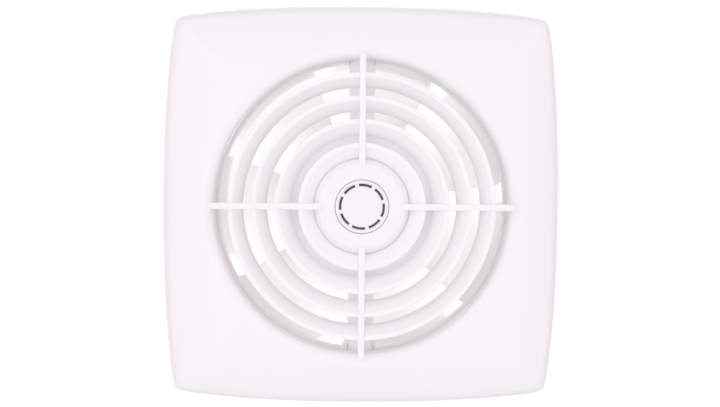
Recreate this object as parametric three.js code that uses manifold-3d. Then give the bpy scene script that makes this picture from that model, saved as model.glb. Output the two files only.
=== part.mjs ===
import * as THREE from 'three';
import { mergeVertices } from 'three/addons/utils/BufferGeometryUtils.js';
import Module from 'manifold-3d';

const wasm = await Module();
wasm.setup();

// Axial extractor fan for a 100 mm duct, in millimetres.
// The fan axis is the Y axis, the wall surface is the plane Y = 0, +Y goes into the wall, +Z is up.

// Outline of the cover: a square whose sides bow outward in the middle
const COVER_HALF = 67.0;
const SIDE_SPAN = 67.0;
const SIDE_BOW = 2.82;
const SIDE_CURL = 1.89;
const CORNER_SHARPNESS = 60;
const OCTANT_STEPS = 7;
const OCTANT_CROWDING = 1.8;

// Cover shell
const COVER_REAR = -0.8;
const COVER_WALL = 2.0;
const FACE_EDGE_INSET = 3.5;
const FACE_FRONT = -22.6;
const FACE_DROP = 9.0;
const FACE_FLAT_PART = 0.55;
const FACE_CURVE = 2.2;
const MOUTH_LIP = 52.5;
const MOUTH_RADIUS = 49.1;
const MOUTH_THROAT = 47.7;
const MOUTH_REAR = -14.0;

// Louvre rings, centre hub and the four arms that carry them
const RING_LIP_RADII = [21.1, 28.9, 36.5, 44.2];
const RING_ROOT_RADII = [16.9, 24.4, 32.4, 40.3];
const RING_FRONT = -23.0;
const RING_REAR = -17.0;
const RING_WALL = 1.0;
const ARM_WIDTH = 2.1;
const ARM_REAR = -16.5;
const ARM_END = 50.4;
const HUB_FLOOR_FRONT = -18.4;
const HUB_FLOOR_REAR = -16.7;
const HUB_HOLE = 9.0;
const HUB_FACE = 12.8;
const HUB_SHOULDER = 13.5;
const HUB_ROOT = 15.8;
const HUB_WALL = 1.3;
const SCREW_HOLE = 1.6;

// Round cap that hides the cover screw
const CAP_RADIUS = 8.75;
const CAP_FRONT = -23.3;
const CAP_INSIDE = -21.4;
const CAP_REAR = -18.9;
const CAP_WALL = 1.0;
const CAP_SLOT_INNER = 6.7;
const CAP_SLOT_OUTER = 7.62;
const CAP_SLOT_COUNT = 8;
const CAP_BRIDGE_START = 13.5;
const CAP_BRIDGE_ANGLE = 9.0;

// Mounting base and duct spigot
const BASE_HALF = 64.6;
const BASE_PLATE_FRONT = -2.4;
const BASE_RIM_FRONT = -8.0;
const BASE_RIM_WALL = 1.6;
const DUCT_BORE = 47.3;
const DUCT_OUTER = 49.0;
const COLLAR_FRONT = -12.6;
const SPIGOT_REAR = 54.0;
const WALL_SCREW_AT = 54.5;
const WALL_SLOT_RADIUS = 2.25;
const WALL_SLOT_REACH = 1.3;
const CABLE_ENTRY = [-54.0, 19.7];
const CABLE_ENTRY_RADIUS = 4.5;
const HOLDER_POST_RADIUS = 3.0;
const CLAMP_POST_RADIUS = 2.4;
const PILOT_RADIUS = 1.35;

// Pan-head screws: head radius and height, shank radius, and the Y of the tip
const COVER_SCREW = { head: 3.0, height: 1.9, shank: 1.2, tip: -11.6 };
const HOLDER_SCREW = { head: 2.6, height: 1.7, shank: 1.2, tip: -2.2 };
const CLAMP_SCREW = { head: 2.0, height: 1.5, shank: 1.2, tip: -1.6 };
const MOTOR_SCREW = { head: 2.4, height: 1.6, shank: 1.25, tip: 11.0 };

// Motor holder: a cup carried by an upper and a lower strut
const CUP_RADIUS = 27.5;
const CUP_INNER = 25.9;
const CUP_FRONT = -14.0;
const CUP_FLOOR = -12.4;
const CUP_REAR = 20.3;
const LID_REAR = 22.3;
const BOSS_FRONT = -16.4;
const BOSS_REAR = -11.2;
const MOTOR_POST_RADIUS = 3.0;
const MOTOR_POST_REAR = -7.7;
const LID_HOLE = 5.0;
const STRUT_HALF = 4.2;
const STRUT_START = 26.2;
const STRUT_LENGTH = 23.0;
const STRUT_SHOULDER = 1.4;
const STRUT_FRONT = -13.4;
const STRUT_REAR = -8.4;
const STRUT_WALL = 1.4;
const FOOT_FRONT = -8.8;
const FOOT_REAR = -7.0;
const FOOT_START = 43.0;
const FOOT_END = 58.6;
const HOLDER_SCREW_AT = 56.0;

// Shaded-pole motor
const STATOR_FRONT = -4.0;
const STATOR_REAR = 12.0;
const STATOR_MIDDLE = (STATOR_FRONT + STATOR_REAR) / 2;
const YOKE_OUTER = 24.6;
const YOKE_INNER = 20.4;
const POLE_WIDTH = 7.0;
const SHOE_INNER = 11.2;
const SHOE_OUTER = 13.2;
const SHOE_HALF_ANGLE = 33;
const BOBBIN_RANGE = [13.6, 19.2];
const BOBBIN_FLANGE = [6.2, 10.6];
const BOBBIN_WALL = 0.9;
const COIL_RANGE = [14.65, 18.15];
const COIL_OUTER = [6.0, 10.3];
const COIL_INNER = [4.7, 9.2];
const BRIDGE_REACH = 24.2;
const BRIDGE_HALF = 4.8;
const BRIDGE_SOCKET = 6.2;
const BUSH_INNER = 2.1;
const BUSH_OUTER = 4.2;
const ROTOR_RADIUS = 10.7;
const END_RING_RADII = [6.0, 10.4];
const MOTOR_SCREW_AT = 22.3;
const MOTOR_SCREW_ANGLES = [45, 225];
const MOTOR_SCREW_SEAT = 15.6;
const SHAFT_RADIUS = 2.0;
const SHAFT_FRONT = -10.0;
const SHAFT_REAR = 43.5;

// Impeller behind the motor
const BLADE_COUNT = 7;
const BLADE_START = 7.0;
const BLADE_SWEEP = 43.4;
const BLADE_TIP = 46.2;
const BLADE_THICKNESS = 1.5;
const BLADE_BOW = 1.4;
const BLADE_FRONT = [25.2, 28.0];
const BLADE_BACK = [43.6, 40.4];
const IMPELLER_HUB = 25.4;
const IMPELLER_FRONT = 24.0;
const IMPELLER_REAR = 44.0;
const IMPELLER_WALL = 1.4;
const IMPELLER_PLATE = 1.6;
const SLEEVE_RADIUS = 4.9;
const RIB_REAR = 36.0;
const RIB_WALL = 1.2;
const CLIP_RADIUS = 6.0;

// Mains wiring
const TERMINAL_RADIUS = 60.95;
const TERMINAL_ANGLE = 135;
const TERMINAL_SPACING = 3.5;
const TERMINAL_FRONT = -11.4;
const TERMINAL_HALF = [5.0, 8.0];
const TERMINAL_WELL = 2.4;
const LEAD_RADIUS = 0.8;
const CLAMP_AT = [-52.0, 31.0];
const CLAMP_TURN = 18.1;
const CLAMP_SCREW_OFFSET = 6.7;
const CLAMP_HALF = 9.0;
const CLAMP_WIDTH = 5.4;
const CLAMP_SEAT = -4.6;
const CLAMP_FRONT = -6.6;
const CLAMP_ARCH = 3.2;
const CLAMP_ARCH_OUTER = 4.75;
const CLAMP_ARCH_START = 0.43;

const FINE = 40;
const MEDIUM = 24;
const COARSE = 12;
const WELD_DISTANCE = 1e-4;

const group = new THREE.Group();
group.name = 'bathroom_extractor_fan';

const radians = (degrees) => degrees * Math.PI / 180;
const mix = (from, to, share) => from + (to - from) * share;

// ---------------------------------------------------------------- materials

function plastic(colour, roughness) {
  return new THREE.MeshStandardMaterial({ color: colour, roughness, metalness: 0 });
}

function metal(colour, roughness) {
  return new THREE.MeshStandardMaterial({ color: colour, roughness, metalness: 1 });
}

const glossyWhite = () => plastic(0xf4eff2, 0.22);
const bodyWhite = () => plastic(0xeeebe8, 0.4);
const impellerWhite = () => plastic(0xf6f3ea, 0.35);
const terminalWhite = () => plastic(0xe2dfd6, 0.5);
const bobbinNylon = () => plastic(0xd8d2bd, 0.5);
const blackRubber = () => plastic(0x1b1b1c, 0.8);
const greyRubber = () => plastic(0x6d6f70, 0.75);
const brownSleeve = () => plastic(0x6a3a1e, 0.5);
const blueSleeve = () => plastic(0x2b58a6, 0.5);
const fibreWasher = () => plastic(0x8a5b34, 0.7);
const platedSteel = () => metal(0xbfc1c2, 0.35);
const groundSteel = () => metal(0xcfd1d3, 0.2);
const laminatedSteel = () => metal(0x8f9296, 0.5);
const castAluminium = () => metal(0xc9cbcc, 0.45);
const zincAlloy = () => metal(0xb0b2b0, 0.5);
const sinteredBronze = () => metal(0xa9824c, 0.45);
const brass = () => metal(0xc9a350, 0.35);
const enamelledCopper = () => metal(0xa8572c, 0.4);

// ---------------------------------------------------------------- solid building

function signedVolume(points, triangles) {
  const corners = [new THREE.Vector3(), new THREE.Vector3(), new THREE.Vector3()];
  let total = 0;
  for (let start = 0; start < triangles.length; start += 3) {
    corners.forEach((corner, side) => corner.fromArray(points, triangles[start + side] * 3));
    total += corners[0].dot(corners[1].clone().cross(corners[2])) / 6;
  }
  return total;
}

// One closed body from corner positions and triangles, turned so that its faces look outward
function closedBody(points, triangles) {
  const ordered = Uint32Array.from(triangles);
  if (signedVolume(points, triangles) < 0) {
    ordered.reverse();
  }
  const surface = new wasm.Mesh({
    numProp: 3,
    vertProperties: Float32Array.from(points),
    triVerts: ordered,
  });
  surface.merge();
  return new wasm.Manifold(surface);
}

function bodyFromGeometry(geometry) {
  geometry.deleteAttribute('normal');
  geometry.deleteAttribute('uv');
  const welded = mergeVertices(geometry, WELD_DISTANCE);
  const corners = Array.from(welded.index.array);
  const triangles = [];
  for (let start = 0; start < corners.length; start += 3) {
    const [a, b, c] = corners.slice(start, start + 3);
    if (a !== b && b !== c && a !== c) {
      triangles.push(a, b, c);
    }
  }
  return closedBody(Array.from(welded.getAttribute('position').array), triangles);
}

// Solid turned about the fan axis; the profile is a list of [radius, y]
function turned(profile, segments) {
  const points = profile.map(([radius, y]) => new THREE.Vector2(radius, y));
  return bodyFromGeometry(new THREE.LatheGeometry(points, segments));
}

// Solid turned about the fan axis from a profile that closes on itself
function turnedLoop(profile, segments) {
  return turned([...profile, profile[0]], segments);
}

function disc(radius, front, back, segments) {
  return turned([[0, front], [radius, front], [radius, back], [0, back]], segments);
}

function sleeve(inner, outer, front, back, segments) {
  return turnedLoop([[inner, front], [outer, front], [outer, back], [inner, back]], segments);
}

// Straight solid whose outline is drawn in X and Z
function prism(shape, front, back) {
  const geometry = new THREE.ExtrudeGeometry(shape, {
    depth: back - front,
    bevelEnabled: false,
    curveSegments: 3,
  });
  geometry.rotateX(Math.PI / 2);
  geometry.translate(0, back, 0);
  return bodyFromGeometry(geometry);
}

function block(xRange, yRange, zRange) {
  const size = [xRange, yRange, zRange].map(([low, high]) => high - low);
  const centre = [xRange, yRange, zRange].map(([low, high]) => (low + high) / 2);
  const geometry = new THREE.BoxGeometry(...size);
  geometry.translate(...centre);
  return bodyFromGeometry(geometry);
}

// Piece of a ring between two radii and two angles
function ringSector(inner, outer, fromDegrees, toDegrees, front, back) {
  const shape = new THREE.Shape();
  shape.absarc(0, 0, outer, radians(fromDegrees), radians(toDegrees), false);
  shape.absarc(0, 0, inner, radians(toDegrees), radians(fromDegrees), true);
  return prism(shape, front, back);
}

function rod(radius, front, back, [x, z], segments = COARSE) {
  return disc(radius, front, back, segments).translate([x, 0, z]);
}

// Round bar following a smooth line through the given points
function wire(points, radius, steps) {
  const path = new THREE.CatmullRomCurve3(points.map((point) => new THREE.Vector3(...point)));
  const section = new THREE.Shape();
  section.absarc(0, 0, radius, 0, Math.PI * 2, false);
  const geometry = new THREE.ExtrudeGeometry(section, { steps, curveSegments: 4, extrudePath: path });
  return bodyFromGeometry(geometry);
}

// Closed tube of wall material: every section is a closed loop, and the last section joins the first
function closedLoft(sections) {
  const size = sections[0].length;
  const triangles = [];
  sections.forEach((section, row) => {
    const nextRow = (row + 1) % sections.length;
    section.forEach((point, column) => {
      const nextColumn = (column + 1) % size;
      const a = row * size + column;
      const b = row * size + nextColumn;
      const c = nextRow * size + nextColumn;
      const d = nextRow * size + column;
      triangles.push(a, b, c, a, c, d);
    });
  });
  return closedBody(sections.flat(2), triangles);
}

// Closed thin body between two matching grids of points
function slab(upper, lower) {
  const rows = upper.length;
  const columns = upper[0].length;
  const half = rows * columns;
  const at = (row, column, side) => side * half + row * columns + column;
  const triangles = [];
  const quad = (a, b, c, d) => triangles.push(a, b, c, a, c, d);
  for (let row = 0; row < rows - 1; row += 1) {
    for (let column = 0; column < columns - 1; column += 1) {
      quad(at(row, column, 0), at(row, column + 1, 0), at(row + 1, column + 1, 0), at(row + 1, column, 0));
      quad(at(row, column, 1), at(row + 1, column, 1), at(row + 1, column + 1, 1), at(row, column + 1, 1));
    }
    quad(at(row, 0, 0), at(row + 1, 0, 0), at(row + 1, 0, 1), at(row, 0, 1));
    const last = columns - 1;
    quad(at(row, last, 0), at(row, last, 1), at(row + 1, last, 1), at(row + 1, last, 0));
  }
  for (let column = 0; column < columns - 1; column += 1) {
    const last = rows - 1;
    quad(at(0, column, 0), at(0, column, 1), at(0, column + 1, 1), at(0, column + 1, 0));
    quad(at(last, column, 0), at(last, column + 1, 0), at(last, column + 1, 1), at(last, column, 1));
  }
  return closedBody([...upper.flat(2), ...lower.flat(2)], triangles);
}

function joined(bodies) {
  return bodies.reduce((whole, next) => whole.add(next));
}

function cut(blank, tools) {
  return tools.reduce((rest, tool) => rest.subtract(tool), blank);
}

function around(count, startDegrees, make) {
  const step = 360 / count;
  return Array.from({ length: count }, (_, index) => make(startDegrees + step * index, index));
}

// Turns a body about the fan axis, counterclockwise seen from the front
function turnedTo(solid, degrees) {
  return solid.rotate([0, -degrees, 0]);
}

function onCircle(radius, degrees) {
  return [radius * Math.cos(radians(degrees)), radius * Math.sin(radians(degrees))];
}

function addPiece(name, solid, material) {
  const surface = solid.getMesh();
  const geometry = new THREE.BufferGeometry();
  geometry.setAttribute('position', new THREE.BufferAttribute(Float32Array.from(surface.vertProperties), 3));
  geometry.setIndex(Array.from(surface.triVerts));
  geometry.computeVertexNormals();
  const mesh = new THREE.Mesh(geometry, material);
  mesh.name = name;
  group.add(mesh);
}

// ---------------------------------------------------------------- cover outline

// Distance from the axis to a bowed side, for a direction at most 45 degrees from its middle
function sideDistance(half, angle) {
  let distance = half / Math.cos(angle);
  for (let pass = 0; pass < 30; pass += 1) {
    const across = distance * Math.sin(angle) / SIDE_SPAN;
    distance = (half - SIDE_BOW * across ** 2 - SIDE_CURL * across ** 4) / Math.cos(angle);
  }
  return distance;
}

// Distance from the axis to the outline, with the corner softly rounded
function outlineDistance(half, angle) {
  const quarter = Math.PI / 2;
  const within = ((angle % quarter) + quarter) % quarter;
  const side = sideDistance(half, Math.min(within, quarter - within));
  const corner = sideDistance(half, quarter / 2);
  const nearness = (side / corner) ** (2 * CORNER_SHARPNESS);
  return side * (1 + nearness) ** (-1 / CORNER_SHARPNESS);
}

// Directions round the outline, closer together near the corners
function outlineAngles() {
  const eighth = Math.PI / 4;
  const rising = Array.from({ length: OCTANT_STEPS }, (_, step) => {
    return eighth * (1 - (1 - step / OCTANT_STEPS) ** OCTANT_CROWDING);
  });
  const falling = Array.from({ length: OCTANT_STEPS }, (_, step) => {
    return eighth * (1 + (step / OCTANT_STEPS) ** OCTANT_CROWDING);
  });
  return [0, 1, 2, 3].flatMap((side) => [...rising, ...falling].map((angle) => angle + side * 2 * eighth));
}

// Lofted ring of material; the section function gives [distance, y] pairs for a direction
function outlineLoft(section) {
  const sections = outlineAngles().map((angle) => section(angle).map(([distance, y]) => {
    return [distance * Math.cos(angle), y, distance * Math.sin(angle)];
  }));
  return closedLoft(sections);
}

// ---------------------------------------------------------------- front cover

// Depth of the pillow-shaped face: flat near the axis and falling away towards the outline
function faceDepth(distance, faceEdge) {
  const share = Math.max(0, (distance / faceEdge - FACE_FLAT_PART) / (1 - FACE_FLAT_PART));
  return FACE_FRONT + FACE_DROP * share ** FACE_CURVE;
}

function coverShellSection(angle) {
  const rim = (inset) => outlineDistance(COVER_HALF - inset, angle);
  const faceEdge = rim(FACE_EDGE_INSET);
  const lipDepth = faceDepth(MOUTH_LIP, faceEdge);
  const onFace = (share) => {
    const distance = mix(faceEdge, MOUTH_LIP, share);
    return [distance, faceDepth(distance, faceEdge)];
  };
  const inside = (share) => {
    const distance = mix(rim(FACE_EDGE_INSET + 1.6), MOUTH_LIP + 0.8, share);
    return [distance, faceDepth(distance, faceEdge) + COVER_WALL];
  };
  return [
    [rim(0), COVER_REAR],
    [rim(0.3), -9.5],
    [rim(0.8), -11.3],
    [rim(1.8), -12.7],
    ...[0, 0.22, 0.46, 0.72, 1].map(onFace),
    [MOUTH_LIP - 1.5, lipDepth + 0.35],
    [MOUTH_LIP - 2.8, lipDepth + 1.3],
    [MOUTH_RADIUS, lipDepth + 2.8],
    [MOUTH_THROAT, MOUTH_REAR],
    [MOUTH_THROAT + 1.6, MOUTH_REAR],
    [MOUTH_RADIUS + 1.9, lipDepth + 3.6],
    ...[1, 0.5, 0].map(inside),
    [rim(COVER_WALL + 0.4), -10.2],
    [rim(COVER_WALL), COVER_REAR],
  ];
}

// Trumpet-shaped louvre ring, narrow at the back and flaring towards the front lip
function louvreRing(lipRadius, rootRadius) {
  const flare = (share) => mix(rootRadius, lipRadius, share ** 1.35);
  const depth = (share) => mix(RING_REAR, RING_FRONT, share);
  return turnedLoop([
    [flare(0), depth(0)],
    [flare(0.5), depth(0.5)],
    [flare(1), depth(1) + 0.4],
    [flare(1) - 0.35, depth(1)],
    [flare(1) - RING_WALL, depth(1) + 0.15],
    [flare(0.5) - RING_WALL, depth(0.5) - 0.2],
    [flare(0) - RING_WALL, depth(0)],
  ], FINE);
}

function centreHub() {
  return turnedLoop([
    [SCREW_HOLE, HUB_FLOOR_FRONT],
    [HUB_HOLE, HUB_FLOOR_FRONT],
    [HUB_HOLE, RING_FRONT + 0.3],
    [HUB_HOLE + 0.4, RING_FRONT],
    [HUB_FACE, RING_FRONT],
    [HUB_SHOULDER, RING_FRONT + 0.6],
    [HUB_ROOT, HUB_FLOOR_REAR - 0.5],
    [HUB_ROOT, HUB_FLOOR_REAR],
    [HUB_ROOT - HUB_WALL, HUB_FLOOR_REAR],
    [HUB_SHOULDER - HUB_WALL, RING_FRONT + 1.4],
    [HUB_HOLE + 1.4, RING_FRONT + 1.4],
    [HUB_HOLE + 1.4, HUB_FLOOR_REAR],
    [SCREW_HOLE, HUB_FLOOR_REAR],
  ], MEDIUM);
}

function grilleArm(degrees) {
  const arm = block([12.0, ARM_END], [RING_FRONT, ARM_REAR], [-ARM_WIDTH / 2, ARM_WIDTH / 2]);
  return turnedTo(arm, degrees);
}

function frontCover() {
  return joined([
    outlineLoft(coverShellSection),
    ...RING_LIP_RADII.map((lipRadius, index) => louvreRing(lipRadius, RING_ROOT_RADII[index])),
    ...around(4, 0, grilleArm),
    centreHub(),
  ]);
}

// ---------------------------------------------------------------- cap, seal and screws

function centreCap() {
  const blank = turned([
    [0, CAP_FRONT],
    [CAP_RADIUS * 0.4, CAP_FRONT + 0.15],
    [CAP_RADIUS * 0.66, CAP_FRONT + 0.5],
    [CAP_SLOT_INNER, CAP_FRONT + 0.8],
    [CAP_SLOT_OUTER, CAP_FRONT + 1.1],
    [CAP_RADIUS - 0.55, CAP_FRONT + 0.55],
    [CAP_RADIUS - 0.25, CAP_FRONT + 0.55],
    [CAP_RADIUS, CAP_FRONT + 0.9],
    [CAP_RADIUS, CAP_REAR],
    [CAP_RADIUS - CAP_WALL, CAP_REAR],
    [CAP_RADIUS - CAP_WALL, CAP_INSIDE],
    [0, CAP_INSIDE],
  ], MEDIUM);
  const slotAngle = 360 / CAP_SLOT_COUNT - CAP_BRIDGE_ANGLE;
  const firstSlot = CAP_BRIDGE_START + CAP_BRIDGE_ANGLE / 2;
  const slots = around(CAP_SLOT_COUNT, firstSlot, (degrees) => {
    const until = degrees + slotAngle;
    return ringSector(CAP_SLOT_INNER, CAP_SLOT_OUTER, degrees, until, CAP_FRONT - 1, CAP_INSIDE + 1);
  });
  return cut(blank, slots);
}

// Pan-head screw with a crossed driver recess; it points along +Y
function crossScrew({ head, height, shank, tip }, seat) {
  const front = seat - height;
  const blank = turned([
    [0, front],
    [head * 0.6, front],
    [head, front + height * 0.45],
    [head, seat],
    [shank, seat],
    [shank, tip - shank],
    [shank * 0.35, tip],
    [0, tip],
  ], COARSE);
  const reach = head * 0.5;
  const half = head * 0.12;
  const depth = [front - 1, front + height * 0.5];
  return cut(blank, [
    block([-reach, reach], depth, [-half, half]),
    block([-half, half], depth, [-reach, reach]),
  ]);
}

// ---------------------------------------------------------------- mounting base

function baseShellSection(angle) {
  const rim = (inset) => outlineDistance(BASE_HALF - inset, angle);
  return [
    [rim(0), 0],
    [rim(0), BASE_RIM_FRONT],
    [rim(BASE_RIM_WALL), BASE_RIM_FRONT],
    [rim(BASE_RIM_WALL), BASE_PLATE_FRONT],
    [DUCT_OUTER, BASE_PLATE_FRONT],
    [DUCT_OUTER, COLLAR_FRONT],
    [DUCT_BORE, COLLAR_FRONT],
    [DUCT_BORE, SPIGOT_REAR],
    [DUCT_OUTER - 0.6, SPIGOT_REAR],
    [DUCT_OUTER, SPIGOT_REAR - 1.2],
    [DUCT_OUTER, 0],
  ];
}

function wallScrewSlot(signX, signZ) {
  const slot = new THREE.Shape();
  slot.absarc(WALL_SLOT_REACH, 0, WALL_SLOT_RADIUS, -Math.PI / 2, Math.PI / 2, false);
  slot.absarc(-WALL_SLOT_REACH, 0, WALL_SLOT_RADIUS, Math.PI / 2, Math.PI * 1.5, false);
  return prism(slot, -4, 1).translate([signX * WALL_SCREW_AT, 0, signZ * WALL_SCREW_AT]);
}

function holderScrewPlaces() {
  return [[0, HOLDER_SCREW_AT], [0, -HOLDER_SCREW_AT]];
}

function mountingBase() {
  const postRoot = BASE_PLATE_FRONT + 0.4;
  const holderPosts = holderScrewPlaces().map((place) => rod(HOLDER_POST_RADIUS, FOOT_REAR, postRoot, place));
  const holderHoles = holderScrewPlaces().map((place) => rod(PILOT_RADIUS, FOOT_REAR - 1, -1.6, place));
  const clampPosts = clampScrewPlaces().map((place) => rod(CLAMP_POST_RADIUS, CLAMP_SEAT, postRoot, place));
  const clampHoles = clampScrewPlaces().map((place) => rod(PILOT_RADIUS, CLAMP_SEAT - 1, -1.0, place));
  const strutNotch = block([-STRUT_HALF - 0.25, STRUT_HALF + 0.25], [-14, FOOT_REAR + 0.2], [-52, 52]);
  const screwSlots = [[1, 1], [1, -1], [-1, 1], [-1, -1]].map(([x, z]) => wallScrewSlot(x, z));
  const cableEntry = rod(CABLE_ENTRY_RADIUS, BASE_PLATE_FRONT - 1, 1, CABLE_ENTRY);
  const notched = cut(outlineLoft(baseShellSection), [strutNotch, ...screwSlots, cableEntry]);
  return cut(joined([notched, ...holderPosts, ...clampPosts]), [...holderHoles, ...clampHoles]);
}

// ---------------------------------------------------------------- motor holder

// Strut seen along its length: a shallow arch in front and a channel open to the back
function strut() {
  const arch = new THREE.Shape();
  const shoulder = -STRUT_FRONT - STRUT_SHOULDER;
  const bend = STRUT_HALF - 0.2;
  arch.moveTo(-STRUT_HALF, -STRUT_REAR);
  arch.lineTo(-STRUT_HALF, shoulder);
  arch.quadraticCurveTo(-bend, -STRUT_FRONT - 0.35, 0, -STRUT_FRONT);
  arch.quadraticCurveTo(bend, -STRUT_FRONT - 0.35, STRUT_HALF, shoulder);
  arch.lineTo(STRUT_HALF, -STRUT_REAR);
  const path = { depth: STRUT_LENGTH, bevelEnabled: false, curveSegments: 5 };
  const bar = bodyFromGeometry(new THREE.ExtrudeGeometry(arch, path)).rotate([0, 0, 180]).translate([0, 0, STRUT_START]);
  const hollow = STRUT_HALF - STRUT_WALL;
  const channel = block([-hollow, hollow], [STRUT_FRONT + 1.5, STRUT_REAR + 1], [STRUT_START - 1, 50]);
  return bar.subtract(channel);
}

function strutFoot() {
  return block([-STRUT_HALF, STRUT_HALF], [FOOT_FRONT, FOOT_REAR], [FOOT_START, FOOT_END]);
}

function motorHolder() {
  const cup = turned([
    [0, CUP_FRONT],
    [CUP_INNER, CUP_FRONT],
    [CUP_RADIUS, CUP_FLOOR],
    [CUP_RADIUS, CUP_REAR],
    [CUP_INNER, CUP_REAR],
    [CUP_INNER, CUP_FLOOR],
    [0, CUP_FLOOR],
  ], FINE);
  const bosses = [
    disc(4.2, BOSS_FRONT, CUP_FLOOR, COARSE),
    disc(3.2, CUP_FLOOR - 0.5, BOSS_REAR, COARSE),
    ...MOTOR_SCREW_ANGLES.map((degrees) => {
      return rod(MOTOR_POST_RADIUS, CUP_FLOOR - 0.5, MOTOR_POST_REAR, onCircle(MOTOR_SCREW_AT, degrees));
    }),
  ];
  const half = joined([strut(), strutFoot()]);
  const halves = [0, 180].map((degrees) => turnedTo(half, degrees));
  const bores = [
    disc(PILOT_RADIUS, BOSS_FRONT - 1, BOSS_REAR + 1, COARSE),
    ...MOTOR_SCREW_ANGLES.map((degrees) => {
      return rod(1.45, -12, MOTOR_POST_REAR + 1, onCircle(MOTOR_SCREW_AT, degrees));
    }),
    ...holderScrewPlaces().map((place) => rod(1.5, FOOT_FRONT - 1, FOOT_REAR + 1, place)),
    block([-2.3, 2.3], [-12.0, -8.9], [CUP_INNER - 1.4, CUP_RADIUS + 1.5]),
  ];
  return cut(joined([cup, ...bosses, ...halves]), bores);
}

function motorHolderLid() {
  return turnedLoop([
    [LID_HOLE, CUP_REAR],
    [CUP_RADIUS - 0.1, CUP_REAR],
    [CUP_RADIUS - 0.1, LID_REAR - 0.8],
    [CUP_RADIUS - 0.9, LID_REAR],
    [LID_HOLE, LID_REAR],
  ], MEDIUM);
}

// ---------------------------------------------------------------- motor

function statorCore() {
  const yoke = sleeve(YOKE_INNER, YOKE_OUTER, STATOR_FRONT, STATOR_REAR, FINE);
  const poles = around(4, 0, (degrees) => {
    const half = POLE_WIDTH / 2;
    const leg = block([SHOE_OUTER - 0.6, YOKE_INNER + 0.6], [STATOR_FRONT, STATOR_REAR], [-half, half]);
    const spread = SHOE_HALF_ANGLE;
    const shoe = ringSector(SHOE_INNER, SHOE_OUTER, -spread, spread, STATOR_FRONT, STATOR_REAR);
    return turnedTo(leg.add(shoe), degrees);
  });
  const screwHoles = MOTOR_SCREW_ANGLES.map((degrees) => {
    return rod(1.5, STATOR_FRONT - 1, STATOR_REAR + 1, onCircle(MOTOR_SCREW_AT, degrees));
  });
  return cut(joined([yoke, ...poles]), screwHoles);
}

// Rectangular frame round a pole leg, given by the leg direction range and its two half sizes
function frameRoundPole(radialRange, outer, inner) {
  const across = (half) => [-half, half];
  const along = (half) => [STATOR_MIDDLE - half, STATOR_MIDDLE + half];
  const outside = block(radialRange, along(outer[1]), across(outer[0]));
  const window = block([radialRange[0] - 1, radialRange[1] + 1], along(inner[1]), across(inner[0]));
  return outside.subtract(window);
}

function bobbin(degrees) {
  const inner = [POLE_WIDTH / 2 + 0.15, (STATOR_REAR - STATOR_FRONT) / 2 + 0.15];
  const core = inner.map((half) => half + BOBBIN_WALL);
  const [near, far] = BOBBIN_RANGE;
  return turnedTo(joined([
    frameRoundPole(BOBBIN_RANGE, core, inner),
    frameRoundPole([near, near + BOBBIN_WALL], BOBBIN_FLANGE, inner),
    frameRoundPole([far - BOBBIN_WALL, far], BOBBIN_FLANGE, inner),
  ]), degrees);
}

function coil(degrees) {
  return turnedTo(frameRoundPole(COIL_RANGE, COIL_OUTER, COIL_INNER), degrees);
}

// Die-cast bar across the motor with a bearing socket in the middle and a leg at each end
function bearingBridge(barRange, legRange, socketRange) {
  const width = [-BRIDGE_HALF, BRIDGE_HALF];
  const legStart = YOKE_INNER - 0.5;
  const bar = block([-BRIDGE_REACH, BRIDGE_REACH], barRange, width);
  const legs = [[legStart, BRIDGE_REACH], [-BRIDGE_REACH, -legStart]].map((range) => {
    return block(range, legRange, width);
  });
  const socket = disc(BRIDGE_SOCKET, ...socketRange, MEDIUM);
  const round = disc(BRIDGE_REACH + 0.1, CUP_FRONT, CUP_REAR, FINE);
  const bores = [
    disc(BUSH_OUTER + 0.1, CUP_FRONT, CUP_REAR, COARSE),
    rod(1.5, CUP_FRONT, CUP_REAR, [MOTOR_SCREW_AT, 0]),
    rod(1.5, CUP_FRONT, CUP_REAR, [-MOTOR_SCREW_AT, 0]),
  ];
  return turnedTo(cut(joined([bar, ...legs, socket]).intersect(round), bores), MOTOR_SCREW_ANGLES[0]);
}

// Plain bearing pressed into a bridge and turned with it
function bush(front, back) {
  return turnedTo(sleeve(BUSH_INNER, BUSH_OUTER, front, back, COARSE), MOTOR_SCREW_ANGLES[0]);
}

function shaft() {
  return turned([
    [0, SHAFT_FRONT],
    [SHAFT_RADIUS - 0.4, SHAFT_FRONT],
    [SHAFT_RADIUS, SHAFT_FRONT + 0.4],
    [SHAFT_RADIUS, SHAFT_REAR - 0.4],
    [SHAFT_RADIUS - 0.4, SHAFT_REAR],
    [0, SHAFT_REAR],
  ], COARSE);
}

// ---------------------------------------------------------------- impeller

// Twisted blade: its front edge lies at the start angle and it slopes back counterclockwise
function impellerBlade(startDegrees) {
  const radialSteps = 3;
  const chordSteps = 6;
  const side = (sign) => Array.from({ length: radialSteps + 1 }, (_, row) => {
    const spread = row / radialSteps;
    const radius = mix(IMPELLER_HUB - 0.7, BLADE_TIP, spread);
    const front = mix(...BLADE_FRONT, spread);
    const back = mix(...BLADE_BACK, spread);
    const sweep = radians(BLADE_SWEEP);
    const chord = Math.hypot(radius * sweep, back - front);
    return Array.from({ length: chordSteps + 1 }, (__, column) => {
      const share = column / chordSteps;
      const half = sign * BLADE_THICKNESS / 2 * (0.4 + 0.6 * Math.sin(Math.PI * share));
      const bow = BLADE_BOW * Math.sin(Math.PI * share);
      const shift = half * (back - front) / (chord * radius);
      const angle = radians(startDegrees) + sweep * share - shift;
      const y = mix(front, back, share) + bow + half * radius * sweep / chord;
      return [radius * Math.cos(angle), y, radius * Math.sin(angle)];
    });
  });
  return slab(side(1), side(-1));
}

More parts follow.
